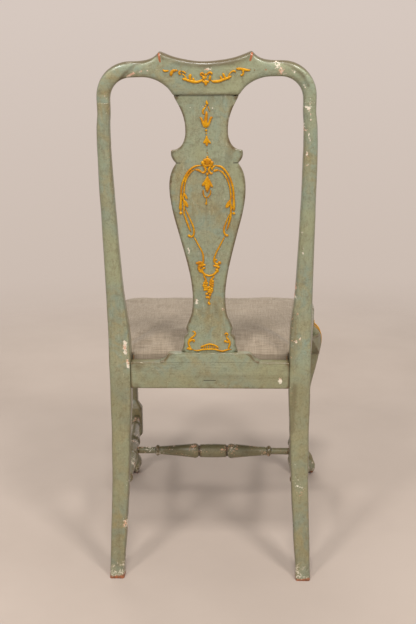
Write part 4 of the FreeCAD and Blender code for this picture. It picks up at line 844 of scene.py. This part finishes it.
SPLAT_STROKES = [
    (22, 0, -7, 4870, 12, -8, 4837, 40, -18, 4806, 42, -15, 4782, 20),
    (20, 0, 3, 4758, 18, 35, 4727, 32, 57, 4690, 36, 58, 4654, 32, 39, 4618, 24),
    (14, 0, -26, 4776, 14, -42, 4739, 18, -55, 4703, 18, -64, 4674, 10),
    (26, 2, 4, 4687, 22, -6, 4648, 40, 2, 4592, 54, 10, 4530, 60, 12, 4469, 58, 10, 4413, 68, 10, 4390, 40),
    (24, 2, 123, 4576, 18, 98, 4569, 30, 76, 4524, 38, 60, 4475, 44, 38, 4425, 44, 19, 4398, 30),
    (24, 2, -118, 4576, 22, -89, 4576, 38, -69, 4537, 42, -51, 4487, 40, -28, 4438, 40, -6, 4400, 30),
    (24, 3, 0, 4268, 20, 1, 4213, 46, 1, 4150, 66, -1, 4097, 42, -5, 4056, 12),
    (20, 0, 15, 4203, 24, 36, 4150, 40, 62, 4122, 16),
    (20, 0, -15, 4203, 24, -42, 4150, 40, -76, 4119, 18),
    (32, 1, -7, 3733, 60, -7, 3784, 94, -7, 3835, 86, -7, 3871, 40),
    (30, 0, 44, 3733, 34, 73, 3767, 60, 82, 3790, 24),
    (30, 0, -60, 3733, 34, -85, 3767, 60, -94, 3790, 24),
    (24, 0, 89, 3733, 28, 39, 3722, 44, -7, 3726, 48, -56, 3726, 44, -107, 3736, 28),
    (26, 0, 71, 3709, 32, 36, 3688, 40, 26, 3649, 42, 44, 3609, 42, 78, 3594, 40, 103, 3614, 26),
    (26, 0, -78, 3709, 28, -42, 3683, 38, -29, 3643, 40, -45, 3602, 42, -80, 3579, 42, -103, 3600, 26),
    (22, 0, -134, 3713, 32, -98, 3683, 36, -85, 3652, 32, -101, 3634, 18),
    (28, 0, -2, 3597, 32, -2, 3566, 52, -2, 3547, 32),
    (22, 2, 123, 3591, 16, 116, 3614, 32, 145, 3637, 44, 190, 3650, 34, 218, 3652, 28),
    (22, 2, -112, 3607, 22, -134, 3626, 42, -165, 3638, 44, -201, 3641, 32),
    (24, 0, 89, 3722, 28, 156, 3724, 36, 228, 3702, 38, 296, 3657, 38, 360, 3584, 36, 413, 3489, 36, 453, 3386, 36,
     472, 3276, 36, 484, 3160, 36, 485, 3043, 36),
    (26, 0, 477, 3231, 36, 483, 3178, 36, 483, 3084, 38, 492, 3004, 50, 495, 2917, 62, 492, 2880, 42),
    (24, 0, -112, 3724, 30, -184, 3720, 38, -257, 3697, 38, -322, 3637, 36, -380, 3552, 36, -420, 3460, 38, -452, 3357,
     40, -469, 3253, 40, -476, 3136, 40, -476, 3031, 40),
    (26, 0, -470, 3204, 42, -474, 3138, 44, -476, 3071, 44, -477, 2991, 50, -475, 2917, 52, -472, 2880, 40),
    (19, 0, 201, 3652, 28, 268, 3626, 30, 313, 3577, 28, 357, 3518, 28, 391, 3437, 28, 412, 3345, 28, 423, 3253, 30,
     430, 3160, 32),
    (19, 0, 439, 3218, 30, 442, 3138, 32, 432, 3058, 32, 429, 2964, 30, 435, 2883, 28, 430, 2815, 30, 408, 2747, 34,
     378, 2652, 36, 345, 2555, 36, 310, 2475, 28),
    (18, 0, 419, 2944, 18, 378, 2856, 26, 339, 2761, 28, 299, 2665, 30, 267, 2569, 34, 257, 2487, 36, 273, 2417, 38,
     319, 2387, 42, 358, 2401, 46, 373, 2428, 24),
    (18, 0, 271, 2404, 24, 220, 2306, 28, 172, 2208, 30, 125, 2117, 32, 97, 2033, 34, 90, 1941, 36),
    (24, 3, 423, 3220, 26, 400, 3171, 46, 376, 3122, 40, 360, 3103, 14),
    (24, 3, 434, 3091, 26, 403, 3044, 56, 370, 2977, 50, 351, 2954, 16),
    (19, 0, -184, 3641, 30, -259, 3614, 32, -311, 3554, 30, -359, 3472, 30, -393, 3368, 30, -414, 3264, 30, -413, 3160,
     32),
    (19, 0, -403, 3297, 32, -421, 3218, 32, -423, 3138, 32, -414, 3064, 32, -423, 2977, 34, -423, 2896, 34, -418, 2815,
     38, -412, 2747, 40, -392, 2672, 38, -370, 2583, 36, -341, 2503, 24),
    (18, 0, -392, 2829, 14, -361, 2733, 24, -323, 2638, 30, -295, 2542, 36, -300, 2462, 38, -340, 2415, 46, -384, 2417,
     30),
    (18, 0, -313, 2404, 24, -263, 2306, 28, -206, 2194, 30, -155, 2096, 32, -124, 2011, 34, -108, 1934, 36),
    (26, 3, -421, 3098, 26, -388, 3042, 56, -357, 2977, 68, -328, 2939, 26),
    (32, 3, -5, 3546, 26, -4, 3495, 50, -3, 3426, 78, -2, 3368, 94, -1, 3311, 84, 1, 3259, 50, 0, 3220, 16),
    (28, 2, 7, 3506, 22, 40, 3437, 38, 74, 3374, 48, 95, 3345, 22),
    (28, 2, -20, 3495, 24, -44, 3426, 40, -69, 3366, 48, -103, 3322, 22),
    (18, 0, 74, 3281, 24, 76, 3218, 26, 57, 3162, 28, 20, 3127, 28),
    (18, 0, -55, 3281, 24, -55, 3218, 26, -29, 3169, 28, 9, 3132, 24),
    (18, 0, 20, 3125, 22, 21, 3066, 20, 26, 3019, 38, 28, 2991, 16),
    (19, 0, 99, 2031, 36, 95, 1972, 36, 95, 1912, 38, 107, 1868, 42, 125, 1828, 46, 129, 1783, 46),
    (26, 2, 116, 1883, 40, 159, 1883, 54, 198, 1871, 56, 226, 1867, 42, 239, 1855, 18),
    (26, 2, 130, 1853, 40, 165, 1818, 60, 180, 1771, 56, 167, 1721, 48, 137, 1675, 22),
    (24, 0, 129, 1791, 32, 113, 1821, 38, 79, 1837, 40, 51, 1823, 26),
    (24, 0, 120, 1729, 32, 107, 1761, 36, 79, 1775, 38, 56, 1761, 22),
    (22, 0, 128, 1763, 44, 115, 1703, 42, 92, 1663, 42, 54, 1635, 40, -2, 1620, 38, -59, 1628, 38, -101, 1648, 42,
     -134, 1683, 46, -164, 1723, 50, -173, 1771, 48),
    (19, 0, -128, 2031, 36, -111, 1972, 36, -106, 1922, 38, -119, 1883, 40, -151, 1855, 42, -184, 1853, 42, -210, 1875,
     48, -223, 1887, 26),
    (24, 0, -82, 1815, 24, -114, 1818, 44, -154, 1807, 50, -191, 1791, 50, -209, 1765, 30),
    (22, 0, -124, 1753, 34, -152, 1741, 48, -173, 1717, 46, -172, 1685, 24),
    (20, 0, 97, 1638, 28, 78, 1592, 34, 54, 1542, 36, 39, 1496, 32),
    (20, 0, -108, 1612, 30, -78, 1572, 38, -40, 1532, 38, -22, 1486, 32),
    (14, 0, -4, 1165, 18, 0, 1103, 22, 11, 1077, 26),
    (26, 0, 15, 1091, 26, 4, 1062, 48, -21, 1027, 42),
    (22, 0, 334, 456, 20, 312, 473, 34, 283, 452, 38, 278, 410, 38, 304, 372, 36, 338, 347, 34, 373, 316, 36, 402, 270,
     38, 411, 218, 40, 398, 174, 44, 383, 135, 50, 374, 104, 42),
    (22, 0, 388, 237, 24, 372, 270, 34, 339, 295, 42, 304, 291, 42, 298, 264, 32, 329, 247, 22),
    (24, 2, 452, 114, 24, 414, 114, 48, 375, 104, 52, 333, 92, 34),
    (20, 0, 341, 92, 28, 292, 77, 30, 233, 72, 34, 185, 81, 34, 136, 92, 36, 68, 97, 32, -1, 102, 30, -69, 100, 30,
     -127, 92, 32, -176, 77, 34, -244, 64, 38, -303, 76, 38, -352, 92, 42, -400, 98, 48, -428, 93, 24),
    (22, 0, -305, 389, 28, -305, 422, 28, -328, 437, 32, -353, 418, 30, -345, 387, 26, -317, 372, 22),
    (20, 0, -324, 369, 32, -341, 335, 36, -367, 299, 36, -392, 251, 38, -392, 199, 38, -377, 154, 38, -365, 114, 44),
    (20, 0, -312, 268, 26, -342, 251, 34, -378, 244, 30),
    (22, 0, 161, 116, 24, 161, 154, 34, 126, 162, 36, 87, 183, 32, 38, 199, 32, -11, 207, 34, -59, 198, 32, -108, 179,
     32, -157, 145, 34, -163, 98, 26),
    (20, 0, 124, 106, 19, 116, 169, 19),
    (20, 0, 83, 106, 19, 77, 174, 19),
    (20, 0, 42, 106, 19, 39, 180, 19),
    (20, 0, -1, 106, 19, -1, 185, 19),
    (20, 0, -44, 106, 19, -40, 180, 19),
    (20, 0, -85, 106, 19, -78, 174, 19),
    (20, 0, -126, 106, 19, -117, 169, 19)]
SPLAT_BOSSES = [
    (8, 4770, 17), (7, 4350, 21), (4, 4298, 15), (-7, 4001, 9), (-9, 3950, 11), (-7, 3878, 20), (74, 3773, 33),
    (-85, 3773, 33), (37, 3817, 32), (-49, 3817, 32), (492, 2845, 27), (-477, 2837, 27), (347, 2408, 26),
    (-349, 2415, 26), (-145, 1936, 22), (-207, 1877, 32), (-307, 268, 26), (59, 1510, 27), (84, 1469, 27),
    (39, 1466, 27), (94, 1422, 27), (52, 1416, 27), (77, 1384, 27), (33, 1378, 27), (78, 1335, 27), (40, 1339, 27),
    (-50, 1532, 27), (-76, 1506, 27), (-35, 1489, 27), (-73, 1459, 27), (-31, 1443, 27), (-69, 1412, 27),
    (-13, 1385, 27), (-58, 1357, 27), (-18, 1329, 27), (-60, 1317, 27), (-1, 1293, 27), (-41, 1283, 27),
    (42, 1251, 27), (-20, 1231, 27), (38, 1183, 27), (-6, 1179, 27)]

# Leaf and scroll border over the knee's corner, in millimetres: height, groove, whether it is on both sides, then
# x, z and width of each point.
KNEE_STROKES = [
    (2.2, 0, 1, 3, 404, 3, 10, 402, 4, 19, 395, 4, 25.5, 381, 4, 28, 362, 4, 27, 342, 4, 22, 322, 3.6, 14, 304, 3.4,
     7, 288, 3, 2.6, 270, 2.4),
    (2.2, 0, 1, 24, 392, 3, 28, 396, 4.6, 27, 402, 4, 22, 401, 2),
    (3.2, 0.4, 0, 0, 394, 3, 0, 380, 9, 0, 360, 11, 0, 335, 9, 0, 305, 6, 0, 275, 3, 0, 252, 1.2),
    (2.8, 0.35, 1, 2, 388, 3, 8, 380, 6, 14, 368, 6, 17, 358, 2),
    (2.8, 0.35, 1, 3, 368, 3, 9, 358, 6, 14, 344, 5.5, 16, 334, 2),
    (2.6, 0.35, 1, 3, 345, 3, 8, 334, 5.5, 12, 320, 5, 13, 311, 2),
    (2.2, 0.3, 1, 2, 320, 2.5, 6, 309, 4.6, 8, 297, 4, 8.6, 290, 1.6),
]


def knee_ornament(panel):
    for high, groove, twice, *row in KNEE_STROKES:
        rows = list(zip(row[::3], row[1::3], row[2::3]))
        for flip in (1, -1) if twice else (1,):
            panel.stroke(rows, high, groove, flip)
    panel.berry(0, 399, 3.2)


# ---------------------------------------------------------------- claw feet
BALL = Vector((214.5, -240.15, 25.5))
ANKLE = Vector((208.8, -229.5, 70.0))
# Reach from the foot's middle, height and radius along one toe.
TOE = [(10.5, 72, 4.2), (14.5, 60, 5.8), (19.5, 48, 6.6), (23, 37, 5.2), (25, 25.5, 6.2), (25.4, 15, 5.0),
       (24.2, 8, 3.6), (22.6, 2.6, 2.0)]
TOE_TURNS = (-62, 0, 62, 180)


def tube(rows, sides=14):
    """Closed round tube through rows of centre and radius, in metres."""
    points, first = [], None
    for k, (centre, radius) in enumerate(rows):
        way = (rows[min(k + 1, len(rows) - 1)][0] - rows[max(k - 1, 0)][0]).normalized()
        first = (first - way * first.dot(way)).normalized() if k else way.orthogonal().normalized()
        second = way.cross(first)
        for j in range(sides):
            turn = 2 * math.pi * j / sides
            points.append(centre + (first * math.cos(turn) + second * math.sin(turn)) * radius)
    return mesh_from(points, ring_faces(sides, len(rows)))


def talons(side):
    """Three toes in front and at the sides of the ball and one behind, with their knuckles."""
    made = []
    for turn in TOE_TURNS:
        way = Matrix.Rotation(math.radians(turn), 3, "Z") @ Vector((1, -1, 0)).normalized()
        rows = []
        for reach, z, radius in curve_points(TOE, 3.0):
            share = (ANKLE.z - z) / (ANKLE.z - BALL.z)
            centre = ANKLE.lerp(BALL, min(max(share, 0), 1))
            spot = Vector((centre.x, centre.y, 0)) + way * reach + Vector((0, 0, z))
            rows.append((Vector((spot.x * side, spot.y, spot.z)) * MM, radius * MM))
        made.append(tube(rows))
    return made


# ---------------------------------------------------------------- the frame's pieces
KNEE_CORNER = (0.251, -0.2675)
crest = back_frame()
splat = dressed("splat", 2, voxel=1.7, seed=4, lumps=0.00018, soft=3)
rear_rail()
dressed("front_seat_rail", 0, seed=7, bare_towards=(0, 1, 0), soft=2)
for side_name, side in SIDES:
    leg = dressed("front_leg_" + side_name, 2, voxel=1.7, seed=8 + side, extra=talons(side))
    knee = Panel(leg, (side * KNEE_CORNER[0], KNEE_CORNER[1], 0), (side, 1, 0), (-side, 1, 0))
    knee_ornament(knee)
    knee.done("knee_carving_" + side_name, 0.9)
    dressed("side_seat_rail_" + side_name, 1, seed=12 + side, bare_towards=(-side, 0, 0), soft=2)
    dressed("side_stretcher_" + side_name, 1, voxel=1.5, seed=16 + side, rounds=2, even_glaze_and_shade=0.25)
    for face, grain in (("front", 0), ("side", 1)):
        dressed("knee_block_%s_%s" % (side_name, face), grain, voxel=1.6, seed=20 + side, rounds=2)
dressed("medial_stretcher", 0, voxel=1.2, seed=24, rounds=2, even_glaze_and_shade=0.25)

for target, name, *drawing in ((crest, "crest_ornament", CREST_STROKES, CREST_BOSSES, CREST_BASE),
                               (splat, "splat_ornament", SPLAT_STROKES, SPLAT_BOSSES, SPLAT_BASE)):
    for face, inward in (("rear", (0, -1, 0)), ("front", (0, 1, 0))):
        panel = Panel(target, (0, 0.2, 0), (1, 0, 0), inward)
        panel.drawn(*drawing)
        panel.done(name + "_" + face)

for material, *names in ((BEECH_X, "seat_frame_front", "seat_frame_rear", "corner_brace_front_left",
                          "corner_brace_front_right", "corner_brace_rear_left", "corner_brace_rear_right"),
                         (BEECH_Y, "seat_frame_left", "seat_frame_right"),
                         (STEEL, "brace_screws", "webbing_tacks", "cover_tacks")):
    for name in names:
        for material_slot in nodes[name].material_slots:
            material_slot.material = material


# ---------------------------------------------------------------- the lift-out seat
# The seat is drawn level in the chair's own millimetres and then tilted into the rails, as the solids are.
TILT = math.atan(8.5 / 424)
SHIFT_Y = 175.848
LEDGE_Z = 413.5
WALL_REAR, WALL_FRONT = -24.0, -410.0
POST_INNER, POST_FRONT = 155.0, -34.0
WALL_HALF = 196.0
WALL_SLOPE = -34.0 / 344.0
WALL_STEP = 14.117
FRAME_TOP = 17.2
PAD_LOW = 22.3
SIDE_GAP = 1.6
WOOD_INSET = 2.8
CLOTH_INSET = 5.5
LIP_INSET = 26.8
CENTRE_Y = -215
# The crown before it is blown up: height above the rails' ledge and how far each ring draws in.
CROWN = [(13.0, 0.0), (18.5, 0.6), (23.0, 2.4), (27.5, 5.8), (31.5, 11.0), (35.0, 20.0), (37.5, 36.0), (39.0, 60.0),
         (40.0, 100.0)]
MOST_SWELL = 8.0 * MM
CLOTH_STEPS = 20
CLOTH = {"quality": 6, "mass": 0.25, "tension_stiffness": 18, "compression_stiffness": 18, "shear_stiffness": 6,
         "bending_stiffness": 1.2, "use_pressure": True, "uniform_pressure_force": 4.0, "vertex_group_mass": "held"}


def seated(points):
    """Level drawing in millimetres to the chair's frame in metres."""
    x, y, z = np.asarray(points, dtype=float).T
    c, s = math.cos(TILT), math.sin(TILT)
    return np.stack([x, y * c + z * s + SHIFT_Y, z * c - y * s + LEDGE_Z], 1) * MM


def level(co):
    """The other way round."""
    x, y, z = (np.asarray(co) / MM - np.array([0, SHIFT_Y, LEDGE_Z])).T
    c, s = math.cos(TILT), math.sin(TILT)
    return np.stack([x, y * c - z * s, y * s + z * c], 1)


def wall_x(y):
    """Half width of the rails' opening at a place."""
    return WALL_HALF + WALL_SLOPE * (y - POST_FRONT) - WALL_STEP


def plan(inset, notch=False, radius=6.0, step=4.0):
    """Rounded outline of the seat in from the rails, as points a step apart; notched round the posts if asked."""
    rear, front = WALL_REAR - inset, WALL_FRONT + inset
    half = [(wall_x(rear) - inset, rear)]
    if notch:
        low, inner = POST_FRONT - inset, POST_INNER - inset
        half = [(inner, rear), (inner, low), (wall_x(low) - inset, low)]
    half.append((wall_x(front) - inset, front))
    corners = np.array(half + [(-x, y) for x, y in reversed(half)])
    outline = []
    for k, here in enumerate(corners):
        back, ahead = corners[k - 1] - here, corners[(k + 1) % len(corners)] - here
        back_run, ahead_run = np.linalg.norm(back), np.linalg.norm(ahead)
        bend = min(radius, 0.45 * back_run, 0.45 * ahead_run)
        start, end = here + back / back_run * bend, here + ahead / ahead_run * bend
        for t in np.linspace(0, 1, 5):
            outline.append((1 - t) ** 2 * start + 2 * t * (1 - t) * here + t * t * end)
    outline = np.array(outline + [outline[0]])
    reach = np.concatenate([[0], np.cumsum(np.linalg.norm(np.diff(outline, axis=0), axis=1))])
    at = np.linspace(0, reach[-1], int(reach[-1] / step), endpoint=False)
    return np.stack([np.interp(at, reach, outline[:, k]) for k in range(2)], 1)


def block(outlines):
    """Closed mesh through stacked outlines (points, height) with as many points each."""
    size = len(outlines[0][0])
    points = np.concatenate([np.column_stack([ring, np.full(size, z)]) for ring, z in outlines])
    return mesh_from(seated(points), ring_faces(size, len(outlines)))


def pad_form():
    """Closed form of the seat: straight sides round the wooden frame under a low crown."""
    full = 2 * math.pi
    base = plan(SIDE_GAP, notch=True)
    base_turn = np.mod(np.unwrap(np.arctan2(base[:, 1] - CENTRE_Y, base[:, 0])), full)
    rings = [(base, 0.0), (base, 7.0), (base, CROWN[0][0])]
    for up, draw in CROWN[1:]:
        inner = plan(SIDE_GAP + draw, radius=6.0 + 0.5 * draw)
        inner_turn = np.mod(np.unwrap(np.arctan2(inner[:, 1] - CENTRE_Y, inner[:, 0])), full)
        order = np.argsort(inner_turn)
        ring = np.stack([np.interp(base_turn, inner_turn[order], inner[order, k], period=full) for k in range(2)], 1)
        share = min(1.0, draw / 10.0)
        rings.append((base + (ring - base) * share if share < 1 else ring, up))
    return block(rings)


def blown_up(mesh, rest):
    """Cloth simulation: pressure fills the crown while the part round the wooden frame stays."""
    holder = add_object("pad_cloth", mesh)
    group = holder.vertex_groups.new(name="held")
    group.add([int(k) for k in np.where(rest[:, 2] < PAD_LOW)[0]], 1.0, "REPLACE")
    cloth = holder.modifiers.new("cloth", "CLOTH")
    for key, value in CLOTH.items():
        setattr(cloth.settings, key, value)
    cloth.settings.effector_weights.gravity = 0.0
    cloth.collision_settings.use_self_collision = False
    cloth.collision_settings.use_collision = False
    cloth.point_cache.frame_start, cloth.point_cache.frame_end = 1, CLOTH_STEPS
    for number in range(1, CLOTH_STEPS + 1):
        scene.frame_set(number)
    after = points_of(baked(holder))
    scene.frame_set(1)
    return after


def seat_pad():
    """Linen-covered pad over the loose seat's wooden frame, turned in underneath."""
    mesh = regrid([pad_form()], voxel=0.005)
    eased(mesh, 2)
    before = points_of(mesh)
    rest = level(before)
    moved = blown_up(mesh.copy(), rest) - before
    room = np.clip((rest[:, 2] - PAD_LOW) / 14.0, 0, 1) * MOST_SWELL
    length = np.maximum(np.linalg.norm(moved, axis=1), 1e-9)
    put_points(mesh, before + moved * np.minimum(1.0, room / length)[:, None])
    mesh = modified(mesh, ("SUBSURF", {"levels": 1, "render_levels": 1}))
    co = points_of(mesh)
    upper = np.clip((level(co)[:, 2] - PAD_LOW) / 10.0, 0, 1)
    lump = uneven(co, 0.11, 5) * 0.0009 + uneven(co, 0.035, 6) * 0.00025
    put_points(mesh, co + normals_of(mesh) * (lump * upper)[:, None])
    tools = []
    for outline, low, high in ((plan(WOOD_INSET, True, 5.0), 1.2, FRAME_TOP + 0.1),
                               (plan(CLOTH_INSET, True, 5.0), FRAME_TOP - 2.0, PAD_LOW),
                               (plan(LIP_INSET, radius=4.0), -6.0, 3.0)):
        tools.append(add_object("tool", block([(outline, low), (outline, high)])))
    made = modified(mesh, *[("BOOLEAN", {"operation": "DIFFERENCE", "solver": "EXACT", "object": tool})
                            for tool in tools])
    for tool in tools:
        bpy.data.objects.remove(tool)
    mark_edges(made, 40.0, 300.0)
    return place("linen_seat_pad", made, LINEN, SEAT_BODY, ("linen_cover", "stuffing"))


pad = seat_pad()

WEB_THICK = 1.3
WEB_WIDTH = 50.0
WEB_PITCH = 88.0
WEB_FOLD = 26.0
WEB_INSET = WOOD_INSET + 6.0
STRAP_COLUMNS = [-1.0, -0.72, -0.66, -0.5, 0.0, 0.5, 0.66, 0.72, 1.0]
STRIPES = (0.5, 0.71)


def strip(path, along, middle):
    """Flat strap whose middle line follows a path of (place along, height), drawn level."""
    path = np.array(path, dtype=float)
    points, stripe = [], []
    for k in range(len(path)):
        way = path[min(k + 1, len(path) - 1)] - path[max(k - 1, 0)]
        up = np.array([-way[1], way[0]]) / np.linalg.norm(way)
        for lift, row in ((WEB_THICK / 2, STRAP_COLUMNS), (-WEB_THICK / 2, STRAP_COLUMNS[::-1])):
            place_on, z = path[k] + up * lift
            for t in row:
                side = t * WEB_WIDTH / 2 + middle
                points.append((side, place_on, z) if along == 1 else (place_on, side, z))
                stripe.append(1.0 if STRIPES[0] < abs(t) < STRIPES[1] else 0.0)
    mesh = mesh_from(seated(points), ring_faces(2 * len(STRAP_COLUMNS), len(path)), merge=False)
    put_values(mesh, "stripe", stripe)
    return mesh


def strap_path(low, high, crossings, first_up):
    """Place and height along one strap: folded over at both ends, over and under the straps that cross it."""
    down, up = FRAME_TOP + 0.75, FRAME_TOP + 2.25
    rest = (up + down) / 2 - 0.1
    end = [(WEB_FOLD, up), (3.0, up), (0.9, up - 0.3), (0.4, (up + down) / 2), (0.9, down + 0.3), (3.0, down)]
    rows = [(low + step, z) for step, z in end]
    for k, middle in enumerate(crossings):
        sign = first_up if k % 2 == 0 else -first_up
        for step, share in ((-34, 0.0), (-27, 0.5), (-22, 1.0), (22, 1.0), (27, 0.5), (34, 0.0)):
            rows.append((middle + step, rest + sign * 0.68 * share))
    return rows + [(high - step, z) for step, z in reversed(end)]


web_rear, web_front = WALL_REAR - WEB_INSET, WALL_FRONT + WEB_INSET
web_middle = (web_rear + web_front) / 2
for k in (-1, 0, 1):
    y = web_middle + WEB_PITCH * k
    half = wall_x(y) - WEB_INSET
    lengthwise = strap_path(web_front, web_rear, [web_middle + WEB_PITCH * j for j in (-1, 0, 1)], 1 if k else -1)
    crosswise = strap_path(-half, half, [WEB_PITCH * j for j in (-1, 0, 1)], -1 if k else 1)
    for path, along, middle, kind, node in ((lengthwise, 1, WEB_PITCH * k, "long", "webbing_lengthwise"),
                                            (crosswise, 0, y, "cross", "webbing_crosswise")):
        name = "webbing_strap_%s_%d" % (kind, k + 2)
        strap = place(name, strip(path, along, middle), WEB, SEAT_BODY, () if k else (node,))

HESSIAN_HEIGHTS = (21.95, 21.25)
HESSIAN_INSET = 6.0


def hessian_sheet():
    """Hessian over the webbing, sagging a little towards its middle."""
    ring = plan(HESSIAN_INSET, radius=5.0)
    centre = np.array([0.0, (WALL_REAR + WALL_FRONT) / 2])
    shares = np.linspace(1, 0.06, 22)
    points, faces = [], []
    size, rows = len(ring), len(shares)
    for top in HESSIAN_HEIGHTS:
        sheet = ring_faces(size, rows, len(points))
        faces += sheet[:-2] + sheet[-1:]
        for share in shares:
            sag = 0.0 if share > 0.8 else 0.25 * (0.8 - share)
            points += [(x, y, top - sag) for x, y in centre + (ring - centre) * share]
    for j in range(size):
        a, b = j, (j + 1) % size
        faces.append((a, b, b + size * rows, a + size * rows))
    made = place("hessian_sheet", mesh_from(seated(points), faces), HESSIAN, SEAT_BODY, ("hessian",))


hessian_sheet()


# ---------------------------------------------------------------- floor, light and camera
FLOOR_HALF = 3.0
floor_mesh = bpy.data.meshes.new("floor")
floor_mesh.from_pydata([(x * FLOOR_HALF, y * FLOOR_HALF, 0) for x, y in ((-1, -1), (1, -1), (1, 1), (-1, 1))], [],
                       [(0, 1, 2, 3)])
floor_mesh.materials.append(floor_material())
add_object("floor", floor_mesh)

AMBIENT = (1.0, 0.985, 0.96, 1.0)
AMBIENT_STRENGTH = 0.41
BACKDROP_LOW, BACKDROP_HIGH = tone(199, 183, 171), tone(214, 200, 191)
HORIZON_LOW, HORIZON_HIGH = -0.35, 0.05
scene.world = bpy.data.worlds.new("studio")
sky = Graph(scene.world)
rise = sky.node("MapRange", {0: sky.axes(sky.node("NewGeometry", output="Position"))[2], 1: HORIZON_LOW,
                             2: HORIZON_HIGH})
seen = sky.node("Background", {"Color": sky.mix(rise, BACKDROP_LOW, BACKDROP_HIGH), "Strength": 1.0})
ambient = sky.tree.nodes["Background"]
ambient.inputs["Color"].default_value = AMBIENT
ambient.inputs["Strength"].default_value = AMBIENT_STRENGTH
camera_ray, glossy_ray, transmission_ray = (
    sky.node("LightPath", output="Is %s Ray" % kind) for kind in ("Camera", "Glossy", "Transmission"))
shown = sky.math("MAXIMUM", sky.math("MAXIMUM", camera_ray, glossy_ray), transmission_ray)
both = sky.node("MixShader", {0: shown, 1: Signal(sky, ambient.outputs[0]), 2: seen})
sky.feed(sky.tree.nodes["World Output"].inputs["Surface"], both)

# Soft boxes: name, place, what they point at, size in metres and watts.
SOFT_BOXES = [("key_right", (-1.33, 1.80, 2.35), (0, 0.05, 0.5), 0.55, 35),
              ("key_left", (1.30, 2.10, 2.45), (0, 0.05, 0.5), 0.45, 30),
              ("overhead", (0.0, 1.25, 3.3), (0, 0.0, 0.4), 0.50, 40),
              ("fill_front", (0.5, -2.6, 2.3), (0, 0, 0.5), 2.4, 44)]
LAMP_COLOUR = (1.0, 0.98, 0.95)
for name, spot, aim, size, power in SOFT_BOXES:
    data = bpy.data.lights.new(name, "AREA")
    data.shape, data.size, data.energy, data.color = "SQUARE", size, power, LAMP_COLOUR
    lamp = add_object(name, data)
    lamp.location = spot
    lamp.rotation_euler = (Vector(aim) - Vector(spot)).to_track_quat("-Z", "Y").to_euler()
    lamp.visible_camera = False
    lamp.visible_glossy = name != "fill_front"

# The camera, fitted to outlines in the photograph.
YAW, PITCH, ROLL = math.radians(2.2), math.radians(15.27), math.radians(-0.44)
CAMERA_AT = (-0.06309, 1.87613, 0.99232)
CAMERA_LENS = 53.06
ahead = Vector((math.sin(YAW) * math.cos(PITCH), -math.cos(YAW) * math.cos(PITCH), -math.sin(PITCH)))
right = ahead.cross(Vector((0, 0, 1))).normalized()
above = right.cross(ahead)
right, above = right * math.cos(ROLL) + above * math.sin(ROLL), above * math.cos(ROLL) - right * math.sin(ROLL)
camera = add_object("camera", bpy.data.cameras.new("camera"))
camera.data.lens = CAMERA_LENS
camera.matrix_world = Matrix.Translation(CAMERA_AT) @ Matrix((right, above, -ahead)).transposed().to_4x4()
scene.camera = camera
scene.view_settings.view_transform = "Standard"
